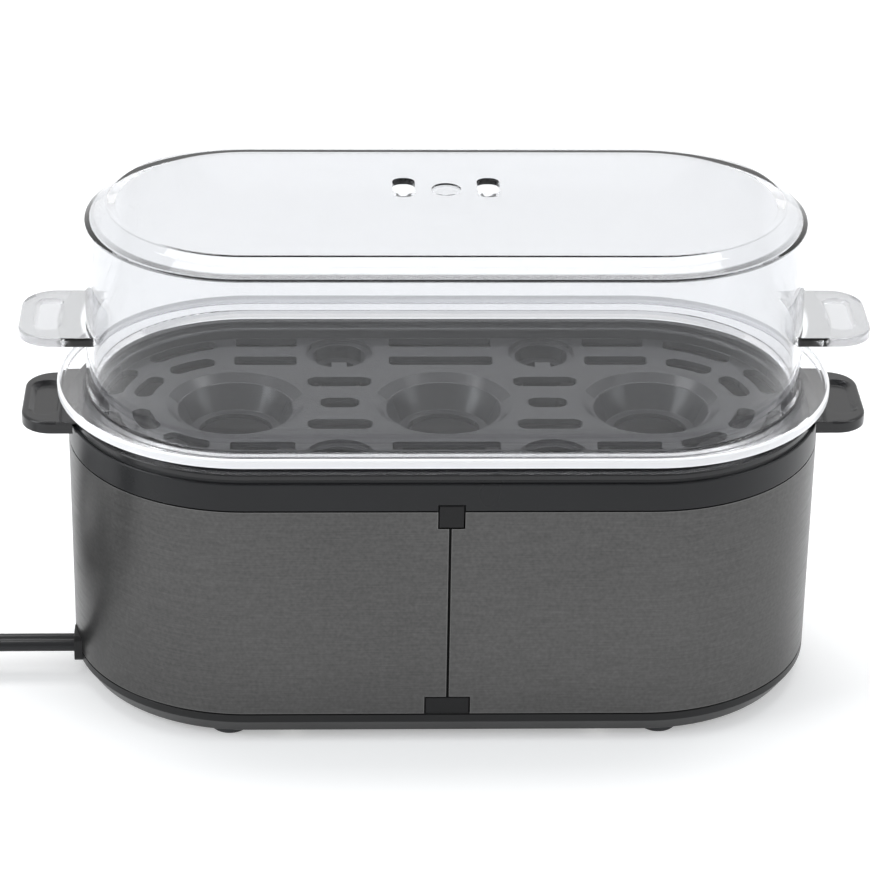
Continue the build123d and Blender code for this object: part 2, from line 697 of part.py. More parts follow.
def egg_rack():
    """The lift-out rack: rim, sunk plate, three egg cups, hollow legs, slots and tabs."""
    plane = RACK_PLANE_Z
    plate_under = plane - RACK_PLATE_T
    edge_r = RACK_EDGE_R
    skirt_out = COLLAR_IN - SEAT_GAP
    skirt_in = skirt_out - RACK_SKIRT_T
    skirt_z = RACK_SEAT_Z - RACK_SKIRT_H
    bead_in = LID_BOTTOM_R + 0.5
    bead_top = RACK_TOP_Z + LOCATOR_H
    points = [
        (0, plate_under),
        (RACK_IN + RACK_WALL, plate_under),
        (RACK_IN + RACK_WALL, RACK_SEAT_Z),
        (skirt_in, RACK_SEAT_Z),
        (skirt_in, skirt_z),
        (skirt_out, skirt_z),
        (skirt_out, RACK_SEAT_Z),
        (edge_r, RACK_SEAT_Z),
        (edge_r, RACK_TOP_Z),
        (bead_in + LOCATOR_T, RACK_TOP_Z),
        (bead_in + LOCATOR_T, bead_top),
        (bead_in, bead_top),
        (bead_in, RACK_TOP_Z),
        (RACK_IN, RACK_TOP_Z),
        (RACK_IN, plane),
        (0, plane),
    ]
    rounds = [((edge_r, RACK_TOP_Z), 0.6), ((RACK_IN, RACK_TOP_Z), 0.6)]
    rack = stadium_turn(rounded(points, rounds))
    cups = (-CUP_PITCH, 0, CUP_PITCH)
    for x in cups:
        rack += Pos(x, 0, 0) * spin(cup_profile(inner=False))
    for x, y in corners(WELL_X, WELL_Y):
        rack += rod(WELL_TUBE_R + WELL_WALL, plane - WELL_DEPTH - WELL_WALL, plate_under, x, y)
        rack += rod(WELL_MID_R + WELL_WALL, plane - WELL_MID_DEPTH - WELL_WALL, plate_under, x, y)
    for x in cups:
        rack -= Pos(x, 0, 0) * spin(cup_profile(inner=True))
        rack -= rod(CUP_HOLE_R, plane - CUP_DEPTH - CUP_WALL - 1, plane, x, 0)
    for x, y in corners(WELL_X, WELL_Y):
        rack -= rod(WELL_R, plane - WELL_STEP, plane, x, y)
        rack -= rod(WELL_MID_R, plane - WELL_MID_DEPTH, plane, x, y)
        rack -= rod(WELL_TUBE_R, plane - WELL_DEPTH, plane, x, y)
        tab_y = (y - WELL_R - 0.5, y - WELL_MID_R + 1.2)
        rack += block((x - WELL_TAB_W / 2, x + WELL_TAB_W / 2), tab_y, (plate_under, plane))
    for slot in rack_slots():
        rack -= extrude(Pos(0, 0, plate_under) * slot, amount=RACK_PLATE_T)
    return rack + rack_tabs()


def rack_tabs():
    """The two end tabs of the rack, outside the collar and joined to its rim."""
    top = RACK_TOP_Z - RACK_HANDLE_DROP
    root = BODY_END_X + HANDLE_GAP - RACK_TAB_ROOT
    tab = finger_tab(
        BODY_END_X + RACK_TAB_OUT, RACK_HANDLE_W, RACK_HANDLE_T, top, RACK_HANDLE_ROUND, root,
        (RACK_DISH_L, RACK_DISH_W, RACK_DISH_DEPTH), RACK_DISH_IN,
    )
    inner = END_OFFSET + BODY_R - RACK_EDGE_IN - 3.0
    bridge = block((inner, root + RACK_TAB_ROOT + 2.0), (-RACK_HANDLE_W / 2, RACK_HANDLE_W / 2), (RACK_SEAT_Z, top))
    bridge -= slab(RACK_IN + RACK_WALL + 4, RACK_SEAT_Z - 1, RACK_TOP_Z)
    collar_space = slab(BODY_R + HANDLE_GAP, 0, RACK_SEAT_Z)
    right = (tab - collar_space) + bridge
    return right + right.rotate(Axis.Z, 180)


def lid():
    """The clear cover: wall, rounded shoulder, flat top, flange, end tabs and vents."""
    wall_top = LID_TOP_Z - LID_SHOULDER_H
    flange_z = FLANGE_TOP_Z - FLANGE_T
    rim_z = FLANGE_TOP_Z + FLANGE_SLOPE
    lip_in = FLANGE_R - FLANGE_LIP_T
    lip_z = rim_z - FLANGE_LIP_H
    points = [
        (0, LID_TOP_Z),
        (LID_PANEL_R, LID_TOP_Z),
        (LID_TOP_R, wall_top),
        (LID_BOTTOM_R, FLANGE_TOP_Z),
        (FLANGE_R, rim_z),
        (FLANGE_R, lip_z),
        (lip_in, lip_z),
        (lip_in, rim_z - FLANGE_T),
        (LID_BOTTOM_R, flange_z),
        (LID_BOTTOM_R, RACK_TOP_Z),
        (LID_BOTTOM_R - LID_T, RACK_TOP_Z),
        (LID_TOP_R - LID_T, wall_top - LID_INNER_DROP),
        (LID_PANEL_R - LID_INNER_IN, LID_TOP_Z - LID_T),
        (0, LID_TOP_Z - LID_T),
    ]
    rounds = [
        ((LID_PANEL_R, LID_TOP_Z), 0.8),
        ((LID_TOP_R, wall_top), 0.6),
        ((LID_BOTTOM_R, FLANGE_TOP_Z), 0.6),
        ((FLANGE_R, rim_z), 0.9),
        ((FLANGE_R, lip_z), 0.6),
        ((LID_TOP_R - LID_T, wall_top - LID_INNER_DROP), 0.5),
    ]
    cover = stadium_turn(rounded(points, rounds))
    top = RACK_TOP_Z + LID_HANDLE_RISE
    root = END_OFFSET + LID_TOP_R - 3.0
    tab = finger_tab(
        END_OFFSET + LID_BOTTOM_R + LID_TAB_OUT, LID_HANDLE_W, LID_HANDLE_T, top, LID_HANDLE_ROUND, root,
        (LID_DISH_L, LID_DISH_W, LID_DISH_DEPTH), LID_DISH_IN,
    )
    tab -= slab(LID_TOP_R - LID_T / 2, 0, LID_TOP_Z)
    cover += tab + tab.rotate(Axis.Z, 180)
    for x in (-VENT_X, VENT_X):
        cover -= steam_vent(x)
    dimple_z = LID_TOP_Z - DIMPLE_DEPTH
    return cover - rod(DIMPLE_R, dimple_z, LID_TOP_Z + 1, 0, DIMPLE_Y)


def steam_vent(x):
    """One rounded vent hole through the lid's top."""
    sketch = Pos(x, VENT_Y) * RectangleRounded(VENT_W, VENT_L, VENT_CORNER)
    return extrude(Pos(0, 0, LID_TOP_Z - LID_T - 1) * sketch, amount=LID_T + 2)


def heating_element():
    """The sheathed heater rod: one loop under the dish with both cold ends turned down."""
    z = ELEMENT_Z
    x = ELEMENT_HALF_X
    y = ELEMENT_HALF_Y
    points = [
        (-ELEMENT_LEG_X, y, ELEMENT_TIP_Z),
        (-ELEMENT_LEG_X, y, z),
        (-x, y, z),
        (-x, -y, z),
        (x, -y, z),
        (x, y, z),
        (ELEMENT_LEG_X, y, z),
        (ELEMENT_LEG_X, y, ELEMENT_TIP_Z),
    ]
    turn = y - 0.1
    return tube(points, [ELEMENT_BEND, turn, turn, turn, turn, ELEMENT_BEND], ELEMENT_R)


def element_clamps():
    """Two flat bars that press the heater rod against the dish."""
    bars = []
    half_y = ELEMENT_HALF_Y + ELEMENT_R + 2
    for x in (-STUD_X, STUD_X):
        x_range = (x - CLAMP_BAR_W / 2, x + CLAMP_BAR_W / 2)
        bar = block(x_range, (-half_y, half_y), (STRAP_TOP_Z, BAR_TOP_Z))
        bars.append(bar - rod(STUD_R + FIT, STRAP_TOP_Z, BAR_TOP_Z, x, 0))
    return Compound(children=bars)


def thermostat_strap():
    """The strap across both studs that holds the thermostat up."""
    half_x = STUD_X + CLAMP_BAR_W / 2
    strap = block((-half_x, half_x), (-STRAP_W / 2, STRAP_W / 2), (STRAP_BOTTOM_Z, STRAP_TOP_Z))
    for x in (-STUD_X, STUD_X):
        strap -= rod(STUD_R + FIT, STRAP_BOTTOM_Z, STRAP_TOP_Z, x, 0)
    return strap


def thermostat():
    """The disc thermostat against the dish, with two blade terminals beside the strap."""
    body = rod(THERMOSTAT_R, STRAP_TOP_Z, DISH_UNDER_Z)
    for side in (-1, 1):
        y = side * THERMOSTAT_BLADE_Y
        blade_z = (STRAP_TOP_Z - BLADE_LEN, STRAP_TOP_Z)
        body += block((-BLADE_W / 2, BLADE_W / 2), (y - BLADE_T / 2, y + BLADE_T / 2), blade_z)
    return body


def stud_nuts():
    """Two nuts under the strap and two under the heat shield."""
    nuts = []
    for x in (-STUD_X, STUD_X):
        for top in (STRAP_BOTTOM_Z, SHIELD_BOTTOM_Z):
            hexagon = RegularPolygon(NUT_AF / 2, 6, major_radius=False)
            nut = extrude(Pos(x, 0, top - NUT_H) * hexagon, amount=NUT_H)
            nuts.append(nut - rod(STUD_R + PIN_CLEAR, top - NUT_H, top, x, 0))
    return Compound(children=nuts)


def heat_shield():
    """The thin steel tray under the heater, with holes for studs, rod ends and wires."""
    lip_z = SHIELD_BOTTOM_Z + SHIELD_LIP_H
    tray = slab(SHIELD_R, SHIELD_BOTTOM_Z, lip_z)
    tray -= slab(SHIELD_R - SHIELD_T, SHIELD_TOP_Z, lip_z)
    for x in (-STUD_X, STUD_X):
        tray -= rod(STUD_R + FIT, SHIELD_BOTTOM_Z, SHIELD_TOP_Z, x, 0)
    for x in (-ELEMENT_LEG_X, ELEMENT_LEG_X):
        tray -= rod(ELEMENT_R + 1.2, SHIELD_BOTTOM_Z, SHIELD_TOP_Z, x, ELEMENT_HALF_Y)
    for y in (-FUSE_LEN, FUSE_LEN):
        tray -= rod(WIRE_R + 1.6, SHIELD_BOTTOM_Z, SHIELD_TOP_Z, FUSE_X, y)
    gap_y = THERMOSTAT_BLADE_Y + 2.0
    return tray - block((-BLADE_W, BLADE_W), (-gap_y, gap_y), (SHIELD_BOTTOM_Z, SHIELD_TOP_Z))


def thermal_fuse():
    """The one-shot fuse that lies against the dish."""
    return rod_y(FUSE_R, -FUSE_LEN / 2, FUSE_LEN / 2, FUSE_X, DISH_UNDER_Z - FUSE_R)


def front_bezel():
    """The switch surround: flange on the sleeve, body through it, rocker and lens holes."""
    front_y = BODY_R + BEZEL_T
    flange = block(
        (-BEZEL_HALF_X, BEZEL_HALF_X), (BODY_R, front_y),
        (PANEL_Z - BEZEL_HALF_Z, PANEL_Z + BEZEL_HALF_Z),
    )
    flange = fillet(flange.edges().filter_by(Axis.Y), 5.0)
    flange = fillet(flange.faces().sort_by(Axis.Y)[-1].edges(), 0.5)
    body = block(
        (-BEZEL_BODY_X, BEZEL_BODY_X), (BEZEL_BACK_Y, BODY_R),
        (PANEL_Z - BEZEL_BODY_Z, PANEL_Z + BEZEL_BODY_Z),
    )
    bezel = flange + body
    bezel -= rocker_space(BEZEL_BACK_Y, front_y)
    return bezel - rod_y(LENS_R + PIN_CLEAR, BEZEL_BACK_Y, front_y, LENS_X, PANEL_Z)


def rocker_space(near, far):
    """The shaft that the rocker moves in, between two depths."""
    half_x = ROCKER_W / 2 + ROCKER_GAP
    tilt = math.radians(ROCKER_TILT)
    reach = ROCKER_R * math.cos(tilt) + ROCKER_FRONT * math.sin(tilt)
    half_z = reach + ROCKER_GAP
    x = (ROCKER_X - half_x, ROCKER_X + half_x)
    return block(x, (near, far), (PANEL_Z - half_z, PANEL_Z + half_z))


def switch_housing():
    """The switch body behind the bezel, with its pivot holes, lamp hole and blades."""
    half_x = BEZEL_BODY_X - 1
    half_z = BEZEL_BODY_Z - 0.6
    z_range = (PANEL_Z - half_z, PANEL_Z + half_z)
    housing = block((-half_x, half_x), (HOUSING_BACK_Y, BEZEL_BACK_Y), z_range)
    back = PIVOT_Y - ROCKER_R - ROCKER_GAP
    housing -= rocker_space(back, BEZEL_BACK_Y)
    pin_reach = ROCKER_W / 2 + ROCKER_PIN_LEN + FIT
    housing -= rod_x(
        ROCKER_PIN_R + PIN_CLEAR, ROCKER_X - pin_reach, ROCKER_X + pin_reach, PIVOT_Y, PANEL_Z
    )
    housing -= rod_y(LAMP_R + FIT, BEZEL_BACK_Y - LAMP_LEN, BEZEL_BACK_Y, LENS_X, PANEL_Z)
    for x in BLADE_X:
        blade_x = (x - BLADE_T / 2, x + BLADE_T / 2)
        blade_z = (PANEL_Z - BLADE_W / 2, PANEL_Z + BLADE_W / 2)
        housing += block(blade_x, (BLADE_TIP_Y, HOUSING_BACK_Y), blade_z)
    return housing


def switch_rocker():
    """The rocker with a dished front and stub axles, drawn in its off position."""
    r = ROCKER_R
    front = [(0, -r), (ROCKER_FRONT, -r), (ROCKER_FRONT - ROCKER_DIP, 0), (ROCKER_FRONT, r), (0, r)]
    section = make_face(Polyline(*front, close=True)) + Circle(r)
    body = extrude(Plane.YZ * section, amount=ROCKER_W / 2, both=True)
    pin_half = ROCKER_W / 2 + ROCKER_PIN_LEN
    body += rod_x(ROCKER_PIN_R, -pin_half, pin_half, 0, 0)
    return Pos(ROCKER_X, PIVOT_Y, PANEL_Z) * body.rotate(Axis.X, -ROCKER_TILT)


def indicator_lens():
    """The round lens beside the rocker, slightly proud of the bezel."""
    front_y = BODY_R + BEZEL_T + LENS_PROUD
    lens = rod_y(LENS_R, LENS_BACK_Y, front_y, LENS_X, PANEL_Z)
    return fillet(lens.edges().sort_by(Axis.Y)[-1], 0.6)


def indicator_lamp():
    """The small lamp in the switch body behind the lens."""
    back = BEZEL_BACK_Y - LAMP_LEN
    lamp = rod_y(LAMP_R, back, BEZEL_BACK_Y - SEAT_GAP, LENS_X, PANEL_Z)
    return fillet(lamp.edges().sort_by(Axis.Y)[-1], 1.5)


def cord_bush():
    """The bush that fills the cord window, with a wider back inside the wall."""
    y = (CORD_Y - GLAND_W / 2, CORD_Y + GLAND_W / 2)
    z = (CORD_Z - GLAND_H / 2, CORD_Z + GLAND_H / 2)
    back_x = GLAND_BACK_X
    bush = block((GLAND_FACE_X, back_x), y, z)
    bush = fillet(bush.edges().filter_by(Axis.X), 2.0)
    wide_y = (y[0] - GLAND_BACK_EXTRA, y[1] + GLAND_BACK_EXTRA)
    wide_z = (z[0], z[1] + GLAND_BACK_EXTRA)
    bush += block((back_x - GLAND_BACK_T, back_x), wide_y, wide_z)
    return bush - rod_x(CORD_R + PIN_CLEAR, GLAND_FACE_X, back_x, CORD_Y, CORD_Z)


def cord_sheath():
    """The stretch of the lead inside the base, from the bush to past the clamp."""
    return rod_x(CORD_R, GLAND_FACE_X, TAIL_END_X, CORD_Y, CORD_Z)


def cord_clamp():
    """The bar that holds the lead down on the base."""
    y = (CORD_Y - CLAMP_HALF_Y, CORD_Y + CLAMP_HALF_Y)
    x = (CLAMP_X - CLAMP_W / 2, CLAMP_X + CLAMP_W / 2)
    clamp = block(x, y, (CORD_Z, CORD_Z + CLAMP_H))
    clamp -= rod_x(CORD_R + PIN_CLEAR, x[0], x[1], CORD_Y, CORD_Z)
    for side in (-1, 1):
        screw_y = CORD_Y + side * CLAMP_SCREW_Y
        clamp -= rod(CLAMP_SCREW_R + FIT, CORD_Z, CORD_Z + CLAMP_H, CLAMP_X, screw_y)
    return clamp


def clamp_screws():
    """Two screws through the clamp into the base."""
    screws = []
    top = CORD_Z + CLAMP_H
    for side in (-1, 1):
        y = CORD_Y + side * CLAMP_SCREW_Y
        head = rod(2 * CLAMP_SCREW_R, top, top + 2, CLAMP_X, y)
        screws.append(head + rod(CLAMP_SCREW_R, CORD_Z - 5, top, CLAMP_X, y))
    return Compound(children=screws)


def terminal_block():
    """The connector block on the base floor, with its screw wells."""
    top = BASE_FLOOR_Z + BLOCK_H
    body = block(BLOCK_X, BLOCK_Y, (BASE_FLOOR_Z, top))
    for x in (BLOCK_X[0] + 6, BLOCK_X[1] - 6):
        for side in (-1, 1):
            body -= rod(1.8, top - 4, top, x, CORD_Y + side * BLOCK_W / 4)
    return body


def wiring_harness():
    """The insulated cores from the lead to the switch, thermostat, fuse and heater."""
    z = CORD_Z
    left, right = BLOCK_X
    cores = [
        rod_x(WIRE_R, TAIL_END_X, left, CORD_Y - 1.6, z),
        rod_x(WIRE_R, TAIL_END_X, left, CORD_Y + 1.6, z),
    ]
    blade_z = PANEL_Z
    tip = BLADE_TIP_Y
    leg_z = ELEMENT_TIP_Z
    under_z = SHIELD_BOTTOM_Z - WIRE_DROP
    stat_z = STRAP_TOP_Z - BLADE_LEN
    fuse_z = DISH_UNDER_Z - FUSE_R
    half_fuse = FUSE_LEN / 2
    leg_y = ELEMENT_HALF_Y
    live, lamp, stat = BLADE_X[0], BLADE_X[2], THERMOSTAT_BLADE_Y
    load = BLADE_X[1]
    cores += [
        wire([(right, -17, z), (-34, -17, z), (-26, 10, 16), (live, 16, 32), (live, tip - 5, blade_z),
              (live, tip, blade_z)]),
        wire([(right, -12, z), (-28, -12, z), (-14, 6, 14), (lamp, 14, 28), (lamp, tip - 5, blade_z),
              (lamp, tip, blade_z)]),
        wire([(right, -7, z), (-36, -7, z), (-14, -stat, 22), (0, -stat, 34), (0, -stat, stat_z)]),
        wire([(load, tip, blade_z), (load, tip - 4, blade_z), (load + 5, 18, 36),
              (ELEMENT_LEG_X, leg_y, under_z - 3), (ELEMENT_LEG_X, leg_y, leg_z)], 1.5),
        wire([(0, stat, stat_z), (0, stat, under_z), (FUSE_X, FUSE_LEN, under_z), (FUSE_X, FUSE_LEN, fuse_z),
              (FUSE_X, half_fuse, fuse_z)]),
        wire([(FUSE_X, -half_fuse, fuse_z), (FUSE_X, -FUSE_LEN, fuse_z), (FUSE_X, -FUSE_LEN, under_z - 3),
              (-ELEMENT_LEG_X, leg_y, under_z - 5), (-ELEMENT_LEG_X, leg_y, leg_z)]),
    ]
    return Compound(children=cores)


def coil_points():
    """The places where the half turns meet, as (x, y, z), with the quarter turn out last."""
    centre_y = COIL_START_Y + COIL_RADII[0]
    points = []
    for i, radius in enumerate(COIL_RADII):
        side = -1 if i % 2 == 0 else 1
        z = COIL_Z if i <= COIL_CLIMB else COIL_Z + COIL_LAYER
        points.append(Vector(COIL_X, centre_y + side * radius, z))
    last = points[-1]
    points.append(last + Vector(COIL_EXIT_R, -COIL_EXIT_R, 0))
    return points


def coil_edges():
    """The arcs of the coil: half turns, then a quarter turn out."""
    points = coil_points()
    edges = []
    for i, (a, b) in enumerate(zip(points[:-1], points[1:-1])):
        heading = Vector(-1, 0, 0) if i % 2 == 0 else Vector(1, 0, 0)
        top = (a + b) / 2 + heading * ((b - a).length / 2)
        edges.append(ThreePointArc(a, top, b))
    a, b = points[-2:]
    turn = COIL_EXIT_R * math.sqrt(0.5)
    top = a + Vector(turn, turn - COIL_EXIT_R, 0)
    edges.append(ThreePointArc(a, top, b))
    return edges


def least_gap(edges, skip):
    """The least distance of the coil's line to itself, less its diameter."""
    step = 2.0
    spots = []
    for edge in edges:
        count = max(2, int(edge.length / step))
        spots += [edge @ (i / count) for i in range(count)]
    least = 999.0
    for i, spot in enumerate(spots):
        for other in spots[i + skip:]:
            least = min(least, (spot - other).length)
    return least - CORD_D


def cord_coil():
    """The put-away turns of the lead as one unbroken tube."""
    edges = coil_edges()
    path = Wire(edges)
    start = edges[0] @ 0
    section = Plane(origin=start, z_dir=edges[0] % 0) * Circle(CORD_R)
    coil = sweep(section, path=path)
    area = math.pi * CORD_R ** 2
    print("coil length", round(path.length, 1), "volume ratio", round(coil.volume / (area * path.length), 4))
    print("coil least gap", round(least_gap(edges, 20), 2))
    return coil


def lead_stretch(points, name):
    """One free stretch of the lead, with its bend radii printed."""
    radii = bend_radii(points)
    stretch = tube(points, radii, CORD_R)
    path = FilletPolyline(*points, radius=radii)
    area = math.pi * CORD_R ** 2
    print(name, "length", round(path.length, 1), "radii", [round(r, 1) for r in radii],
          "volume ratio", round(stretch.volume / (area * path.length), 4))
    return stretch


def cord_tie():
    """The thin tie round the turns on the coil's far side."""
    centre_y = COIL_START_Y + COIL_RADII[0]
    low_r = min(COIL_RADII) - CORD_R - TIE_GAP
    high_r = COIL_RADII[1] + CORD_R + TIE_GAP
    low_z = COIL_Z - CORD_R - TIE_GAP
    high_z = COIL_Z + COIL_LAYER + CORD_R + TIE_GAP
    x = (COIL_X - TIE_W / 2, COIL_X + TIE_W / 2)
    outer = block(
        x, (centre_y + low_r - TIE_T, centre_y + high_r + TIE_T), (low_z - TIE_T, high_z + TIE_T)
    )
    return outer - block(x, (centre_y + low_r, centre_y + high_r), (low_z, high_z))


def plug_place():
    """The plane at the plug's cord end: x along the plug, z up."""
    start = Vector(*END_ROUTE[-1])
    heading = start - Vector(*END_ROUTE[-2])
    return Plane(origin=start, x_dir=heading.normalized(), z_dir=(0, 0, 1))


def mains_plug():
    """The moulded plug body with its tapered cord boot."""
    body = Box(PLUG_LEN, PLUG_W, PLUG_T)
    body = fillet(body.edges().filter_by(Axis.Z), 6.0)
    body = fillet(body.faces().sort_by(Axis.Z)[-1].edges() + body.faces().sort_by(Axis.Z)[0].edges(), 2.0)
    body = Pos(PLUG_BOOT + PLUG_LEN / 2, 0, 0) * body
    boot = Rot(0, 90, 0) * Pos(0, 0, (PLUG_BOOT + 2) / 2) * Cone(CORD_R + 0.5, PLUG_BOOT_R, PLUG_BOOT + 2)
    return plug_place() * (body + boot)


def plug_pins():
    """The two round contact pins."""
    pins = []
    start = PLUG_BOOT + PLUG_LEN
    for side in (-1, 1):
        pin = rod_x(PIN_R, start, start + PIN_LEN, side * PIN_PITCH / 2, 0)
        pins.append(fillet(pin.edges().sort_by(Axis.X)[-1], 1.2))
    return plug_place() * Compound(children=pins)


def all_parts():
    """Every sub-part by name."""
    coil = coil_points()
    entry = [(GLAND_FACE_X, CORD_Y, CORD_Z), *LEAD_ROUTE, tuple(coil[0])]
    exit_run = [tuple(coil[-1]), *END_ROUTE]
    return {
        "base_shell": base_shell(),
        "rubber_feet": rubber_feet(),
        "base_screws": base_screws(),
        "outer_sleeve": outer_sleeve(),
        "seam_clip_upper": seam_clip(upper_clip_pocket(0.0)),
        "seam_clip_lower": seam_clip(lower_clip_pocket(0.0)),
        "upper_collar": upper_collar(),
        "dish_gasket": dish_gasket(),
        "heating_dish": heating_dish(),
        "egg_rack": egg_rack(),
        "lid": lid(),
        "heating_element": heating_element(),
        "element_clamps": element_clamps(),
        "thermostat_strap": thermostat_strap(),
        "thermostat": thermostat(),
        "stud_nuts": stud_nuts(),
        "heat_shield": heat_shield(),
        "thermal_fuse": thermal_fuse(),
        "front_bezel": front_bezel(),
        "switch_housing": switch_housing(),
        "switch_rocker": switch_rocker(),
        "indicator_lens": indicator_lens(),
        "indicator_lamp": indicator_lamp(),
        "cord_bush": cord_bush(),
        "cord_sheath": cord_sheath(),
        "cord_clamp": cord_clamp(),
        "clamp_screws": clamp_screws(),
        "terminal_block": terminal_block(),
        "wiring_harness": wiring_harness(),
        "power_cord": lead_stretch(entry, "power_cord"),
        "cord_coil": cord_coil(),
        "cord_end": lead_stretch(exit_run, "cord_end"),
        "cord_tie": cord_tie(),
        "mains_plug": mains_plug(),
        "plug_pins": plug_pins(),
    }


for node, shape in all_parts().items():
    save(shape, node)
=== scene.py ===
import json
import math

import bmesh
import bpy
from mathutils import Matrix, Vector


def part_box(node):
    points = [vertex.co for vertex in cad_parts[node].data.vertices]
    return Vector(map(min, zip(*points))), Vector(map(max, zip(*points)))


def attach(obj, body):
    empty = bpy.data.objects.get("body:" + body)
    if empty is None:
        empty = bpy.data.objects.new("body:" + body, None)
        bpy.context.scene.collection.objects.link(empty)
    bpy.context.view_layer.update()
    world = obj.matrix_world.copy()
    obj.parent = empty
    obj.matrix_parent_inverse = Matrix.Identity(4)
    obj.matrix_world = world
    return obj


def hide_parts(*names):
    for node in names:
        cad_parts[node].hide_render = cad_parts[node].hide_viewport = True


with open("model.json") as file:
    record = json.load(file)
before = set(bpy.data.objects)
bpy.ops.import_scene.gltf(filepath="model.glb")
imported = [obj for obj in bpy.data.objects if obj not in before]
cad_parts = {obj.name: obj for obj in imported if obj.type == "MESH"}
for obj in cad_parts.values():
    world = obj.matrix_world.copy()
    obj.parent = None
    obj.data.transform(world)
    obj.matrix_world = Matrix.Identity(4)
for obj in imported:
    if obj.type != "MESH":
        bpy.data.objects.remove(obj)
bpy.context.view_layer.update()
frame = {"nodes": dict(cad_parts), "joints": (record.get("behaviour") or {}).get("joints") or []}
MM = 0.001

# The cover: the centres of its rounded ends, its wall, its lip and its tabs
_, cover_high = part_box("lid")
END_OFFSET = 58.0 * MM
WALL_RADIUS = 48.5 * MM
LIP_RADIUS = cover_high.y - 0.6 * MM
LIP_TOP = 96.5 * MM
TAB_TOP = 114.0 * MM
# Over these widths one look of the cover goes over into the next
WALL_SOFT = 0.6 * MM
LIP_SOFT = 0.4 * MM
LIP_FADE = 0.3 * MM
TAB_FADE = (0.5 * MM, 0.2 * MM)
ABOVE_LIP_FADE = 0.5 * MM

# Painted light and shade on the cover: a lighter tint on its flange, a darker tone on its tabs, and
# a pale glowing look on lip and tabs
FLANGE_PAINTED_LIGHT = (0.97, 0.97, 0.98)
TAB_PAINTED_SHADE = 0.57
LIP_LIGHT_SHARE = 0.80
TAB_LIGHT_SHARE = 0.20
LIP_LIGHT_COLOUR = (0.90, 0.90, 0.92)
LIP_LIGHT_ROUGH = 0.18
LIP_LIGHT_GLOW = 0.18

# Painted shade lines near the cover's top: height, half width and tone
PAINTED_SHADE_LINES = (
    (cover_high.z - 5.0 * MM, 0.5 * MM, 0.14),
    (cover_high.z - 0.25 * MM, 0.18 * MM, 0.60),
)
# The painted shade lines fade between these two places across the cover, down to this share
LINE_FADE = (-34.0 * MM, -12.0 * MM)
LINE_FAR_SHARE = 0.25

# The range that most values of a noise fall in
NOISE_RANGE = (0.3, 0.7)
# Noise scales for tone and specks, by kind of material
PLASTIC_TONE_SCALE = 35.0
METAL_TONE_SCALE = 14.0
METAL_SPECK_SCALE = 950.0
CLEAR_TONE_SCALE = 22.0
# Tones of metal's darkest and brightest lines, and of clear plastic's darkest places
METAL_DARK = 0.74
METAL_BRIGHT = 1.30
CLEAR_DARK = 0.992
# Shares of roughness at the ends of the noise, by kind of material
PLASTIC_ROUGH = (0.88, 1.12)
METAL_ROUGH = (0.85, 1.2)
CLEAR_ROUGH = (0.8, 1.25)
COAT_ROUGH = 0.08
CLEAR_COAT_ROUGH = 0.03
# Depths of the fine relief, the radius in which an edge looks worn and its range of bent normals
GRAIN_DEPTH = 0.08 * MM
BRUSH_DEPTH = 0.03 * MM
CLEAR_DEPTH = 0.4 * MM
CLEAR_RELIEF = 0.05
WEAR_RADIUS = 0.6 * MM
WEAR_RANGE = (0.86, 0.99)


# Node helpers

def new_material(name):
    """An empty node material with its output node."""
    mat = bpy.data.materials.new(name)
    mat.use_nodes = True
    tree = mat.node_tree
    tree.nodes.clear()
    out = tree.nodes.new("ShaderNodeOutputMaterial")
    return mat, tree, out


def node(tree, kind, inputs=None, **settings):
    """A node with its settings and input values."""
    made = tree.nodes.new(kind)
    for key, value in settings.items():
        setattr(made, key, value)
    for key, value in (inputs or {}).items():
        made.inputs[key].default_value = value
    return made


def calc(tree, operation, *values):
    """A maths node on the outputs of other nodes and on plain numbers."""
    made = node(tree, "ShaderNodeMath", operation=operation)
    for socket, value in zip(made.inputs, values):
        if isinstance(value, float):
            socket.default_value = value
        else:
            tree.links.new(value, socket)
    return made.outputs["Value"]


def axes(tree, space="Object"):
    """The X, Y and Z outputs of a space."""
    coords = node(tree, "ShaderNodeTexCoord")
    split = node(tree, "ShaderNodeSeparateXYZ")
    tree.links.new(coords.outputs[space], split.inputs[0])
    return split.outputs["X"], split.outputs["Y"], split.outputs["Z"]


def mapped(tree, scale=(1, 1, 1)):
    """Object coordinates stretched by a scale."""
    coords = node(tree, "ShaderNodeTexCoord")
    mapping = node(tree, "ShaderNodeMapping", {"Scale": scale})
    tree.links.new(coords.outputs["Object"], mapping.inputs["Vector"])
    return mapping.outputs["Vector"]


def noise(tree, vector, scale, detail=2.0, rough=0.5):
    """A noise value on a vector."""
    made = node(tree, "ShaderNodeTexNoise", {
        "Scale": scale, "Detail": detail, "Roughness": rough,
    })
    tree.links.new(vector, made.inputs["Vector"])
    return made.outputs["Fac"]


def ramp(tree, value, stops):
    """A colour ramp through (place, colour) stops."""
    made = node(tree, "ShaderNodeValToRGB")
    elements = made.color_ramp.elements
    while len(elements) < len(stops):
        elements.new(0.5)
    for element, (place, colour) in zip(elements, stops):
        element.position = place
        element.color = (*colour, 1.0)
    tree.links.new(value, made.inputs["Fac"])
    return made.outputs["Color"]


def spread(tree, value, low, high, source=NOISE_RANGE):
    """A value mapped from one range to another."""
    made = node(tree, "ShaderNodeMapRange", {
        "From Min": source[0], "From Max": source[1], "To Min": low, "To Max": high,
    })
    tree.links.new(value, made.inputs["Value"])
    return made.outputs["Result"]


def tinted(tree, tone, share, colour):
    """A colour laid over another by a share."""
    mixed = node(tree, "ShaderNodeMix", data_type="RGBA")
    mixed.inputs["B"].default_value = (*colour, 1.0)
    tree.links.new(share, mixed.inputs["Factor"])
    tree.links.new(tone, mixed.inputs["A"])
    return mixed.outputs["Result"]


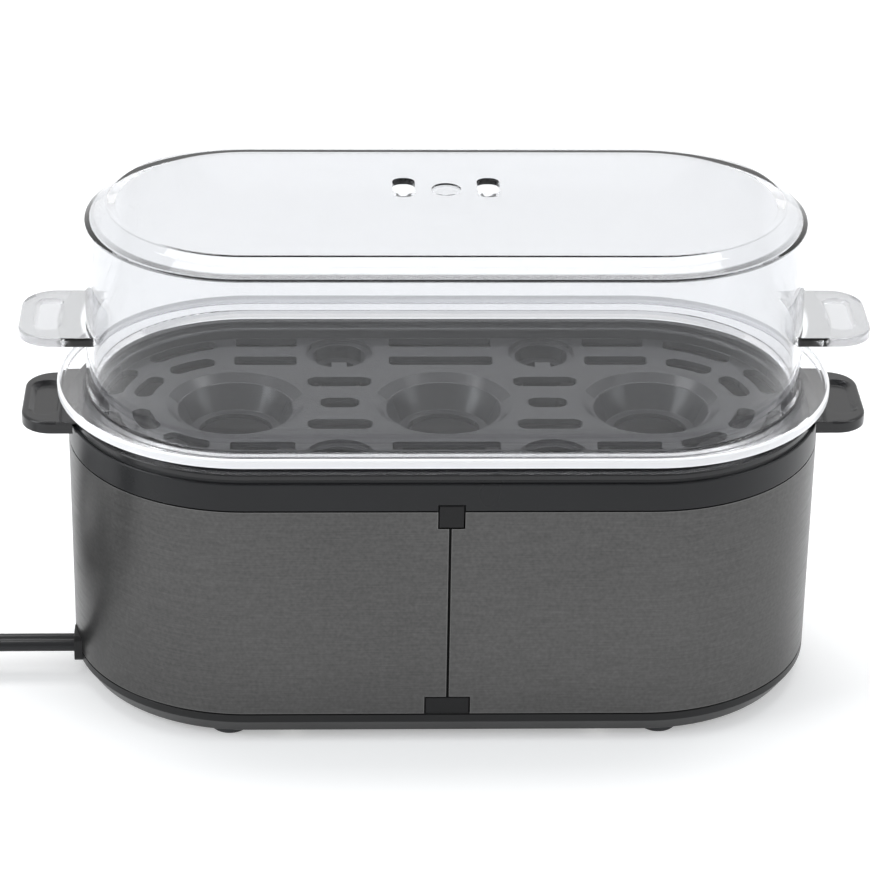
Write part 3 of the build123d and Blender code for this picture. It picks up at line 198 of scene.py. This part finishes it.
def layered(tree, share, under, over):
    """A shader laid over another by a share."""
    mix = node(tree, "ShaderNodeMixShader")
    tree.links.new(share, mix.inputs["Fac"])
    tree.links.new(under, mix.inputs[1])
    tree.links.new(over, mix.inputs[2])
    return mix.outputs["Shader"]


def relief(tree, height, strength, depth):
    """A bump node on a height value."""
    bump = node(tree, "ShaderNodeBump", {"Strength": strength, "Distance": depth})
    tree.links.new(height, bump.inputs["Height"])
    return bump


def varied_rough(tree, value, rough, shares):
    """A roughness that goes from one share of its middle value to another."""
    low, high = shares
    return spread(tree, value, rough * low, min(1.0, rough * high))


def ray_share(tree, *kinds):
    """A value that is 1 for rays of the named kinds."""
    path = node(tree, "ShaderNodeLightPath")
    share = path.outputs[kinds[0]]
    for kind in kinds[1:]:
        share = calc(tree, "MAXIMUM", share, path.outputs[kind])
    return share


def edge_wear(tree, radius):
    """A value that rises where an edge is near."""
    bevel = node(tree, "ShaderNodeBevel", {"Radius": radius}, samples=4)
    geometry = node(tree, "ShaderNodeNewGeometry")
    dot = node(tree, "ShaderNodeVectorMath", operation="DOT_PRODUCT")
    tree.links.new(bevel.outputs["Normal"], dot.inputs[0])
    tree.links.new(geometry.outputs["Normal"], dot.inputs[1])
    return spread(tree, dot.outputs["Value"], 1.0, 0.0, WEAR_RANGE)


def beyond(tree, radius, soft):
    """A value that is 1 past a radius from the line between the rounded ends, and the height."""
    x, y, z = axes(tree)
    past = calc(tree, "SUBTRACT", calc(tree, "ABSOLUTE", x), END_OFFSET)
    flat = node(tree, "ShaderNodeCombineXYZ")
    tree.links.new(calc(tree, "MAXIMUM", past, 0.0), flat.inputs["X"])
    tree.links.new(y, flat.inputs["Y"])
    length = node(tree, "ShaderNodeVectorMath", operation="LENGTH")
    tree.links.new(flat.outputs["Vector"], length.inputs[0])
    return spread(tree, length.outputs["Value"], 0.0, 1.0, (radius - soft, radius)), z


def painted_shade_line(tree, height, half):
    """A value that is 1 in a thin line of painted shade at a height, fading toward the far side."""
    _, y, z = axes(tree)
    away = calc(tree, "ABSOLUTE", calc(tree, "SUBTRACT", z, height))
    band = spread(tree, away, 1.0, 0.0, (half * 0.5, half))
    near = spread(tree, y, 1.0, LINE_FAR_SHARE, LINE_FADE)
    return calc(tree, "MULTIPLY", band, near)


def shade(colour, factor):
    """A colour times a factor."""
    return tuple(min(1.0, c * factor) for c in colour)


# Kinds of material

def moulded(
    name, colour, rough, grain=0.25, scale=1400.0, variation=0.12, soft_edge=0.0,
    coat=0.0, gloss=0.5, under_cover_shade=None,
):
    """Moulded plastic or rubber: fine grain, faint tone changes and soft edges.

    Past the cover's wall a darker colour takes over: painted shade under the cover's flange and
    tabs.
    """
    mat, tree, out = new_material(name)
    shader = node(tree, "ShaderNodeBsdfPrincipled", {"Specular IOR Level": gloss})
    vector = mapped(tree)
    broad = noise(tree, vector, PLASTIC_TONE_SCALE)
    tones = (shade(colour, 1 - variation), shade(colour, 1 + variation))
    tone = ramp(tree, broad, list(zip(NOISE_RANGE, tones)))
    # Painted shade: a darker colour past the cover's wall
    if under_cover_shade:
        outside, _ = beyond(tree, WALL_RADIUS, WALL_SOFT)
        tone = tinted(tree, tone, outside, under_cover_shade)
    tree.links.new(tone, shader.inputs["Base Color"])
    tree.links.new(varied_rough(tree, broad, rough, PLASTIC_ROUGH), shader.inputs["Roughness"])
    bump = relief(tree, noise(tree, vector, scale), grain, GRAIN_DEPTH)
    if soft_edge:
        bevel = node(tree, "ShaderNodeBevel", {"Radius": soft_edge}, samples=6)
        tree.links.new(bevel.outputs["Normal"], bump.inputs["Normal"])
    tree.links.new(bump.outputs["Normal"], shader.inputs["Normal"])
    if coat:
        shader.inputs["Coat Weight"].default_value = coat
        shader.inputs["Coat Roughness"].default_value = COAT_ROUGH
    tree.links.new(shader.outputs["BSDF"], out.inputs["Surface"])
    return mat


def brushed(name, colour, rough, stretch, line=0.35, wear=0.0, metallic=1.0):
    """Metal with fine lines across the largest number of the stretch, and slightly varied tone."""
    mat, tree, out = new_material(name)
    shader = node(tree, "ShaderNodeBsdfPrincipled", {"Metallic": metallic})
    lines = noise(tree, mapped(tree, stretch), 1.0, 3.0, 0.6)
    specks = noise(tree, mapped(tree), METAL_SPECK_SCALE)
    broad = noise(tree, mapped(tree), METAL_TONE_SCALE, 3.0)
    both = calc(tree, "MULTIPLY_ADD", lines, 0.5, calc(tree, "MULTIPLY", specks, 0.5))
    mixed = calc(tree, "MULTIPLY_ADD", broad, 0.25, calc(tree, "MULTIPLY", both, 0.75))
    dark, bright = NOISE_RANGE
    tone = ramp(tree, mixed, [
        (dark, shade(colour, METAL_DARK)), (0.5, colour), (bright, shade(colour, METAL_BRIGHT)),
    ])
    if wear:
        tone = tinted(tree, tone, edge_wear(tree, WEAR_RADIUS), shade(colour, 1.0 + wear))
    tree.links.new(tone, shader.inputs["Base Color"])
    tree.links.new(varied_rough(tree, lines, rough, METAL_ROUGH), shader.inputs["Roughness"])
    bump = relief(tree, both, line, BRUSH_DEPTH)
    tree.links.new(bump.outputs["Normal"], shader.inputs["Normal"])
    tree.links.new(shader.outputs["BSDF"], out.inputs["Surface"])
    return mat


def cover_light_and_shade(tree, tone, colour):
    """Painted light and shade on the cover: a lighter flange, darker tabs and thin painted shade
    lines near its top.
    """
    outside, height = beyond(tree, WALL_RADIUS, WALL_SOFT)
    above = spread(tree, height, 0.0, 1.0, (LIP_TOP, LIP_TOP + ABOVE_LIP_FADE))
    # Painted light: the flange tinted lighter than the rest of the cover
    tone = tinted(tree, tone, outside, FLANGE_PAINTED_LIGHT)
    # Painted shade: the tabs above the lip tinted darker
    tabs = calc(tree, "MULTIPLY", outside, above)
    tone = tinted(tree, tone, tabs, shade(colour, TAB_PAINTED_SHADE))
    # Painted shade: thin dark lines near the cover's top
    for line_height, half, strength in PAINTED_SHADE_LINES:
        line = painted_shade_line(tree, line_height, half)
        tone = tinted(tree, tone, line, shade(colour, strength))
    return tone


def lip_painted_light(tree, surface):
    """Painted light on the cover's outer edge: a pale, glowing look laid over its turned-down lip
    and, more faintly, its tabs.
    """
    outside, height = beyond(tree, LIP_RADIUS, LIP_SOFT)
    low = spread(tree, height, LIP_LIGHT_SHARE, 0.0, (LIP_TOP - LIP_FADE, LIP_TOP))
    tab_range = (TAB_TOP - TAB_FADE[0], TAB_TOP - TAB_FADE[1])
    tabs = spread(tree, height, TAB_LIGHT_SHARE, 0.0, tab_range)
    share = calc(tree, "MULTIPLY", outside, calc(tree, "MAXIMUM", low, tabs))
    # Painted light: a pale, faintly glowing surface laid over the clear plastic
    pale = node(tree, "ShaderNodeBsdfPrincipled", {
        "Base Color": (*LIP_LIGHT_COLOUR, 1.0), "Roughness": LIP_LIGHT_ROUGH,
        "Emission Color": (1.0, 1.0, 1.0, 1.0), "Emission Strength": LIP_LIGHT_GLOW,
    })
    return layered(tree, share, surface, pale.outputs["BSDF"])


def clear_plastic(name, colour, rough, ior=1.46, coat=0.0, through=0.93, cover=False):
    """Clear moulded plastic: refracting, faintly uneven, and letting light in to what it covers."""
    mat, tree, out = new_material(name)
    shader = node(tree, "ShaderNodeBsdfPrincipled", {
        "Transmission Weight": 1.0, "IOR": ior,
        "Coat Weight": coat, "Coat Roughness": CLEAR_COAT_ROUGH,
    })
    broad = noise(tree, mapped(tree), CLEAR_TONE_SCALE)
    tone = ramp(tree, broad, list(zip(NOISE_RANGE, (shade(colour, CLEAR_DARK), colour))))
    # Painted light and shade on the cover: lighter flange, darker tabs, dark lines near its top
    if cover:
        tone = cover_light_and_shade(tree, tone, colour)
    tree.links.new(tone, shader.inputs["Base Color"])
    tree.links.new(varied_rough(tree, broad, rough, CLEAR_ROUGH), shader.inputs["Roughness"])
    bump = relief(tree, broad, CLEAR_RELIEF, CLEAR_DEPTH)
    tree.links.new(bump.outputs["Normal"], shader.inputs["Normal"])
    clear = node(tree, "ShaderNodeBsdfTransparent", {"Color": (through, through, through, 1.0)})
    light_rays = ray_share(tree, "Is Shadow Ray", "Is Diffuse Ray")
    surface = layered(tree, light_rays, shader.outputs["BSDF"], clear.outputs["BSDF"])
    # Painted light on the cover's lip and tabs
    if cover:
        surface = lip_painted_light(tree, surface)
    tree.links.new(surface, out.inputs["Surface"])
    return mat


def put(material, *names):
    """Gives one material to CAD nodes."""
    for name in names:
        mesh = frame["nodes"][name].data
        mesh.materials.clear()
        mesh.materials.append(material)


# Materials: outside of the body, rack and cover
SLEEVE = brushed(
    "dark_brushed_steel", (0.092, 0.091, 0.090), rough=0.34,
    stretch=(90.0, 90.0, 2600.0), line=0.30, wear=0.8,
)
COLLAR = moulded(
    "satin_black_plastic", (0.009, 0.0094, 0.0107), rough=0.30, grain=0.12,
    soft_edge=0.0004, gloss=0.30,
)
BASE = moulded(
    "base_plastic", (0.005, 0.005, 0.0055), rough=0.34, grain=0.16,
    soft_edge=0.0004, gloss=0.36,
)
# The rack turns darker past the cover's wall: painted shade under the cover
RACK = moulded(
    "rack_plastic", (0.030, 0.030, 0.033), rough=0.20, grain=0.03, scale=700.0,
    soft_edge=0.0003, gloss=0.46, under_cover_shade=(0.009, 0.009, 0.010),
)
CLIP = moulded(
    "clip_plastic", (0.006, 0.006, 0.0066), rough=0.46, grain=0.5, scale=1800.0,
    soft_edge=0.0003, gloss=0.28,
)
CLEAR = clear_plastic(
    "clear_cover_plastic", (0.83, 0.835, 0.848), rough=0.01, ior=1.22, coat=0.60,
    through=0.97, cover=True,
)
# A near-black strip standing in for the shade inside the sleeve's seam
SEAM_SHADOW = moulded("painted_seam_shadow", (0.004, 0.004, 0.004), rough=0.8, grain=0.1, gloss=0.1)
RUBBER = moulded(
    "foot_rubber", (0.045, 0.045, 0.048), rough=0.72, grain=0.5, scale=1600.0,
    soft_edge=0.0005,
)
SEAL = moulded("seal_silicone", (0.10, 0.10, 0.10), rough=0.55, grain=0.2)

# Materials: lead, controls and inner parts
CORD = moulded(
    "cord_jacket", (0.014, 0.0145, 0.016), rough=0.36, grain=0.15, scale=700.0, gloss=0.35,
)
PLUG = moulded(
    "plug_body", (0.024, 0.024, 0.026), rough=0.45, grain=0.35, scale=1500.0,
    soft_edge=0.0006,
)
TIE = moulded("tie_band", (0.02, 0.02, 0.02), rough=0.5, grain=0.3)
GLOSS = moulded(
    "gloss_black_controls", (0.012, 0.012, 0.013), rough=0.16, grain=0.04,
    soft_edge=0.0004, coat=0.6,
)
SWITCH = moulded("switch_body", (0.05, 0.05, 0.052), rough=0.5, grain=0.2)
MARK = moulded("mark_paint", (0.80, 0.80, 0.78), rough=0.5, grain=0.1)
CERAMIC = moulded("cream_ceramic", (0.62, 0.59, 0.52), rough=0.6, grain=0.35, scale=900.0)
WIRES = moulded("wire_insulation", (0.30, 0.055, 0.04), rough=0.45, grain=0.15)
DISH = brushed(
    "dish_metal", (0.075, 0.075, 0.078), rough=0.34,
    stretch=(160.0, 160.0, 160.0), line=0.2, wear=0.3, metallic=0.0,
)
STEEL = brushed(
    "bracket_steel", (0.52, 0.52, 0.51), rough=0.36,
    stretch=(900.0, 60.0, 60.0), line=0.25, wear=0.3,
)
SCREW = brushed(
    "screw_steel", (0.50, 0.49, 0.46), rough=0.30,
    stretch=(400.0, 400.0, 400.0), line=0.2, wear=0.3,
)
HEATER = brushed(
    "heater_sheath", (0.26, 0.235, 0.21), rough=0.42,
    stretch=(300.0, 300.0, 300.0), line=0.25,
)
PINS = brushed(
    "pin_metal", (0.68, 0.67, 0.63), rough=0.22, stretch=(900.0, 60.0, 60.0), line=0.1,
)
LENS = clear_plastic("red_lens", (0.75, 0.045, 0.03), rough=0.06)
LAMP = clear_plastic("lamp_glass", (0.98, 0.80, 0.62), rough=0.03)

put(SLEEVE, "outer_sleeve")
put(COLLAR, "upper_collar")
put(BASE, "base_shell", "cord_bush", "cord_clamp")
put(CLIP, "seam_clip_upper", "seam_clip_lower")
put(RACK, "egg_rack")
put(CLEAR, "lid")
put(RUBBER, "rubber_feet")
put(SEAL, "dish_gasket")
put(DISH, "heating_dish")
put(STEEL, "element_clamps", "thermostat_strap", "heat_shield")
put(SCREW, "base_screws", "clamp_screws", "stud_nuts")
put(HEATER, "heating_element")
put(CERAMIC, "thermostat", "terminal_block")
put(PINS, "thermal_fuse", "plug_pins")
put(GLOSS, "front_bezel", "switch_rocker")
put(SWITCH, "switch_housing")
put(LENS, "indicator_lens")
put(LAMP, "indicator_lamp")
put(CORD, "cord_sheath")
put(WIRES, "wiring_harness")
put(PLUG, "mains_plug")


# Lead, in millimetres: out of the bush, down to the table, round its coil and over to the plug
LEAD_ROUTE = (
    (-110.6, -12.0, 10.2),
    (-124.0, -12.0, 10.2),
    (-143.0, -12.2, 10.2),
    (-158.0, -13.0, 4.0),
)
END_ROUTE = (
    (-160.1, 6.0, 11.1),
    (-163.0, -13.0, 11.4),
    (-171.0, -30.0, 9.4),
    (-185.0, -42.5, 6.9),
    (-204.0, -48.5, 6.9),
)
# The coil's place, its height above the table and the rise from its lower to its upper layer
COIL_X = -198.0
COIL_START_Y = -13.0
COIL_Z = 4.0
COIL_LAYER = 7.1
# The radius at each half turn, the last of them in the lower layer, and the exit's radius
COIL_RADII = (43.0, 39.5, 35.9, 31.7, 30.6, 35.8)
COIL_CLIMB = 3
COIL_EXIT_R = 37.9
HALF_TURN_STEPS = 6

# The lead's section, in millimetres: half its width, its two lobes and the groove between them
TWIN_HALF = 3.5
LOBE_RADIUS = 1.78
LOBE_FULLNESS = 1.04
GROOVE_HALF = 0.18
LOBE_STEPS = 14


def placed(name, data):
    """An object in the scene that holds the data."""
    made = bpy.data.objects.new(name, data)
    bpy.context.scene.collection.objects.link(made)
    return made


def side_of(half_turn):
    """The side on which a half turn of the coil starts, and its way along X."""
    return -1 if half_turn % 2 == 0 else 1


def coil_controls():
    """Control points of the coil, a fixed number to each half turn."""
    centre_y = COIL_START_Y + COIL_RADII[0]
    ends = []
    for i, radius in enumerate(COIL_RADII):
        z = COIL_Z if i <= COIL_CLIMB else COIL_Z + COIL_LAYER
        ends.append(Vector((COIL_X, centre_y + side_of(i) * radius, z)))
    controls = []
    step = math.pi / HALF_TURN_STEPS
    grow = 1 / math.cos(step / 2)
    for i, (a, b) in enumerate(zip(ends, ends[1:])):
        middle = (a + b) / 2
        arm = (a - middle) * grow
        heading = Vector((side_of(i), 0, 0)) * arm.length
        for k in range(HALF_TURN_STEPS):
            turn = (k + 0.5) * step
            controls.append(middle + arm * math.cos(turn) + heading * math.sin(turn))
    middle = ends[-1] - Vector((0, COIL_EXIT_R, 0))
    arm = COIL_EXIT_R * grow
    for k in range(HALF_TURN_STEPS // 2):
        turn = (k + 0.5) * step
        controls.append(middle + Vector((arm * math.sin(turn), arm * math.cos(turn), 0)))
    return controls


def flat_profile():
    """The outline of a flat twin lead: two lobes with a groove between."""
    data = bpy.data.curves.new("twin_profile", "CURVE")
    data.dimensions = "2D"
    spline = data.splines.new("POLY")
    offset = TWIN_HALF - LOBE_RADIUS
    start = math.acos((offset - GROOVE_HALF) / LOBE_RADIUS)
    points = []
    for side in (1, -1):
        for k in range(LOBE_STEPS + 1):
            turn = start + (2 * math.pi - 2 * start) * k / LOBE_STEPS
            width = side * (offset - LOBE_RADIUS * math.cos(turn))
            thickness = side * LOBE_RADIUS * LOBE_FULLNESS * math.sin(turn)
            points.append((width, thickness))
    spline.points.add(len(points) - 1)
    for point, (width, thickness) in zip(spline.points, points):
        point.co = (width * MM, thickness * MM, 0, 1)
    spline.use_cyclic_u = True
    made = placed("twin_profile", data)
    made.hide_render = True
    return made


def build_lead():
    """The whole lead as one open smooth spline with the flat profile."""
    route = [Vector(p) for p in LEAD_ROUTE]
    end = [Vector(p) for p in END_ROUTE]
    controls = route + coil_controls() + end
    data = bpy.data.curves.new("mains_lead", "CURVE")
    data.dimensions = "3D"
    data.twist_mode = "Z_UP"
    data.bevel_mode = "OBJECT"
    data.bevel_object = flat_profile()
    data.use_fill_caps = True
    spline = data.splines.new("NURBS")
    spline.points.add(len(controls) - 1)
    for point, place in zip(spline.points, controls):
        point.co = (*(place * MM), 1)
    spline.order_u = 3
    spline.use_endpoint_u = True
    spline.resolution_u = 10
    data.materials.append(CORD)
    return placed("mains_lead", data)


lead = build_lead()
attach(lead, "base")
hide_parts("power_cord", "cord_coil", "cord_end")


def mesh_piece(name, bm, material, body, smooth=True):
    """Turns a bmesh into a piece that rides on a body."""
    data = bpy.data.meshes.new(name)
    bm.to_mesh(data)
    bm.free()
    for face in data.polygons:
        face.use_smooth = smooth
    data.materials.append(material)
    made = placed(name, data)
    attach(made, body)
    return made


def stitch(bm, first, second):
    """Faces between two closed rings of as many points."""
    count = len(first)
    for i in range(count):
        j = (i + 1) % count
        bm.faces.new((first[i], first[j], second[j], second[i]))


# The tie: a flat band round the turns
TIE_THICK = 0.5 * MM
TIE_ROUND = 3.4 * MM
TIE_EDGE = 0.12 * MM
TIE_CORNER_STEPS = 6


def tie_ring(half_y, half_z, inset):
    """A rounded rectangle, set in from the band's outside."""
    ring = []
    radius = TIE_ROUND - inset
    for n, (side_y, side_z) in enumerate(((1, 1), (-1, 1), (-1, -1), (1, -1))):
        for k in range(TIE_CORNER_STEPS + 1):
            turn = math.pi / 2 * (n + k / TIE_CORNER_STEPS)
            y = side_y * (half_y - TIE_ROUND) + radius * math.cos(turn)
            z = side_z * (half_z - TIE_ROUND) + radius * math.sin(turn)
            ring.append((y, z))
    return ring


def build_tie():
    """A flat band drawn round the turns, with rounded corners."""
    low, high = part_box("cord_tie")
    middle = (low + high) / 2
    half = (high - low) / 2
    bm = bmesh.new()
    verts = []
    for x in (-half.x, half.x):
        for inset in (0.0, TIE_THICK):
            ring = tie_ring(half.y, half.z, inset)
            verts.append([bm.verts.new(middle + Vector((x, y, z))) for y, z in ring])
    outer_a, inner_a, outer_b, inner_b = verts
    stitch(bm, outer_a, outer_b)
    stitch(bm, inner_b, inner_a)
    stitch(bm, inner_a, outer_a)
    stitch(bm, outer_b, inner_b)
    bmesh.ops.recalc_face_normals(bm, faces=bm.faces)
    made = mesh_piece("lead_tie", bm, TIE, "base")
    made.modifiers.new("edge", "BEVEL").width = TIE_EDGE
    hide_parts("cord_tie")
    return made


tie = build_tie()


# The rocker's dished face, in millimetres: half its height, its place before the pivot, its dip
FACE_HALF = 5.5
FACE_FRONT = 5.7
FACE_DIP = 1.3
# The marks, in millimetres: gap to the face, thickness, the bar's corners and the ring's measures
MARK_GAP = 0.04
MARK_THICK = 0.05
BAR = ((-0.25, 1.8), (0.25, 1.8), (0.25, 4.0), (-0.25, 4.0))
RING_Z = -2.9
RING_OUTER = 1.35
RING_INNER = 0.95
RING_STEPS = 28


def rocker_place():
    """The place of the rocker's face at rest, tilted back by half of its joint's range."""
    joint = next(j for j in frame["joints"] if j["name"] == "rocker_tilt")
    low, high = joint["range_deg"]
    tilt = Matrix.Rotation(math.radians(-(high - low) / 2), 4, "X")
    return Matrix.Translation(joint["pos_m"]) @ tilt


def rocker_marks():
    """A thin bar on one half of the rocker's face and a thin ring on the other."""
    place = rocker_place()
    bm = bmesh.new()

    def outline(points, lift):
        """Points of a mark on the dished face, raised by a lift."""
        ring = []
        for x, z in points:
            y = FACE_FRONT - FACE_DIP + FACE_DIP * abs(z) / FACE_HALF + MARK_GAP + lift
            ring.append(bm.verts.new(place @ (Vector((x, y, z)) * MM)))
        return ring

    bar_low, bar_top = outline(BAR, 0.0), outline(BAR, MARK_THICK)
    bm.faces.new(bar_top)
    stitch(bm, bar_low, bar_top)
    rings = []
    for radius, lift in (
        (RING_OUTER, 0.0), (RING_OUTER, MARK_THICK), (RING_INNER, MARK_THICK), (RING_INNER, 0.0),
    ):
        turns = [2 * math.pi * k / RING_STEPS for k in range(RING_STEPS)]
        points = [(radius * math.cos(t), RING_Z + radius * math.sin(t)) for t in turns]
        rings.append(outline(points, lift))
    for first, second in zip(rings, rings[1:]):
        stitch(bm, first, second)
    bmesh.ops.recalc_face_normals(bm, faces=bm.faces)
    mesh_piece("rocker_marks", bm, MARK, "rocker", smooth=False)


rocker_marks()


# The near-black strip of painted shade in the sleeve's seam: middle, width, depth, distance behind
# the sleeve and clearance
SEAM_X = 0.00045
SEAM_WIDTH = 0.76 * MM
SEAM_DEPTH = 0.34 * MM
SEAM_BEHIND = 0.22 * MM
SEAM_CLEARANCE = 0.1 * MM


def seam_shadow_strip():
    """A near-black strip in the sleeve's open seam, between its two clips: painted shade in the
    seam.
    """
    sleeve_low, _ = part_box("outer_sleeve")
    _, lower_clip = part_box("seam_clip_lower")
    upper_clip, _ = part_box("seam_clip_upper")
    size = Vector((SEAM_WIDTH, SEAM_DEPTH, upper_clip.z - lower_clip.z - SEAM_CLEARANCE))
    middle = Vector((
        SEAM_X, sleeve_low.y + SEAM_BEHIND + size.y / 2, (upper_clip.z + lower_clip.z) / 2,
    ))
    place = Matrix.Translation(middle) @ Matrix.Diagonal((*size, 1.0))
    bm = bmesh.new()
    bmesh.ops.create_cube(bm, size=1.0)
    bmesh.ops.transform(bm, matrix=place, verts=bm.verts)
    mesh_piece("seam_shadow_strip", bm, SEAM_SHADOW, "base", smooth=False)


seam_shadow_strip()


# Floor and world
FLOOR_SIZE = 6.0
FLOOR_DROP = 0.0002
FLOOR_TONE = 0.80
FLOOR_GLOW = 0.34
WORLD_LIGHT = 0.62
# The seen background goes from the first strength to the last between these two places
WORLD_FADE = (-0.5, 0.05)
WORLD_SEEN = (0.55, 1.0)
SEEN_RAYS = ("Is Camera Ray", "Is Glossy Ray", "Is Transmission Ray")


def build_floor():
    """A plain pale floor that keeps the part's shadow."""
    bm = bmesh.new()
    bmesh.ops.create_grid(bm, x_segments=1, y_segments=1, size=FLOOR_SIZE)
    data = bpy.data.meshes.new("floor")
    bm.to_mesh(data)
    bm.free()
    mat, tree, out = new_material("pale_floor")
    diffuse = node(tree, "ShaderNodeBsdfDiffuse", {
        "Color": (FLOOR_TONE, FLOOR_TONE, FLOOR_TONE, 1.0),
    })
    glow = node(tree, "ShaderNodeEmission", {"Color": (1.0, 1.0, 1.0, 1.0)})
    strength = calc(tree, "MULTIPLY", ray_share(tree, *SEEN_RAYS), FLOOR_GLOW)
    tree.links.new(strength, glow.inputs["Strength"])
    both = node(tree, "ShaderNodeAddShader")
    tree.links.new(diffuse.outputs["BSDF"], both.inputs[0])
    tree.links.new(glow.outputs["Emission"], both.inputs[1])
    tree.links.new(both.outputs["Shader"], out.inputs["Surface"])
    data.materials.append(mat)
    made = placed("floor", data)
    made.location.z = -FLOOR_DROP


def build_world():
    """Soft even light, seen as white by the camera and in reflections."""
    world = bpy.data.worlds.new("studio")
    bpy.context.scene.world = world
    world.use_nodes = True
    tree = world.node_tree
    tree.nodes.clear()
    out = tree.nodes.new("ShaderNodeOutputWorld")
    seen = node(tree, "ShaderNodeBackground", {"Color": (1.0, 1.0, 1.0, 1.0)})
    light = node(tree, "ShaderNodeBackground", {
        "Color": (0.96, 0.98, 1.0, 1.0), "Strength": WORLD_LIGHT,
    })
    _, y, _ = axes(tree, "Generated")
    tree.links.new(spread(tree, y, *WORLD_SEEN, WORLD_FADE), seen.inputs["Strength"])
    background = layered(
        tree, ray_share(tree, *SEEN_RAYS), light.outputs["Background"], seen.outputs["Background"],
    )
    tree.links.new(background, out.inputs["Surface"])


# Lamps: name, place, target, size, power and colour
WHITE = (1.0, 1.0, 1.0)
COOL_WHITE = (0.95, 0.98, 1.0)
LAMPS = (
    ("overhead", (0.0, 0.25, 0.95), (0.0, 0.0, 0.06), (0.95, 0.34), 5.5, WHITE),
    ("left_side", (-0.95, -0.35, 0.55), (0.0, 0.0, 0.07), (0.5, 0.9), 5.0, COOL_WHITE),
    ("right_side", (0.95, -0.35, 0.55), (0.0, 0.0, 0.07), (0.5, 0.9), 2.4, COOL_WHITE),
)


def lamp(name, place, target, size, power, colour):
    """A rectangular area lamp aimed at a point."""
    data = bpy.data.lights.new(name, "AREA")
    data.shape = "RECTANGLE"
    data.size, data.size_y = size
    data.energy = power
    data.color = colour
    made = placed(name, data)
    made.location = place
    aim = Vector(target) - Vector(place)
    made.rotation_mode = "QUATERNION"
    made.rotation_quaternion = aim.to_track_quat("-Z", "Y")


# The camera: sensor and lens in millimetres, place in metres, angles in degrees
SENSOR_WIDTH = 36.0
LENS_LENGTH = 145.48
CAMERA_PLACE = (-0.0372, -0.9312, 0.5508)
CAMERA_YAW = -2.14
CAMERA_DOWN = 27.09
CAMERA_ROLL = 0.91
CLIP_NEAR = 0.05
CLIP_FAR = 20.0


def build_camera():
    """The camera at the photograph's place and angle."""
    data = bpy.data.cameras.new("camera")
    data.sensor_width = SENSOR_WIDTH
    data.lens = LENS_LENGTH
    data.clip_start = CLIP_NEAR
    data.clip_end = CLIP_FAR
    made = placed("camera", data)
    made.location = CAMERA_PLACE
    yaw = Matrix.Rotation(math.radians(CAMERA_YAW), 4, "Z")
    tip = Matrix.Rotation(math.radians(90 - CAMERA_DOWN), 4, "X")
    roll = Matrix.Rotation(math.radians(CAMERA_ROLL), 4, "Z")
    made.rotation_mode = "XYZ"
    made.rotation_euler = (yaw @ tip @ roll).to_euler("XYZ")
    bpy.context.scene.camera = made


build_floor()
build_world()
for settings in LAMPS:
    lamp(*settings)
build_camera()
bpy.context.scene.view_settings.view_transform = "Standard"
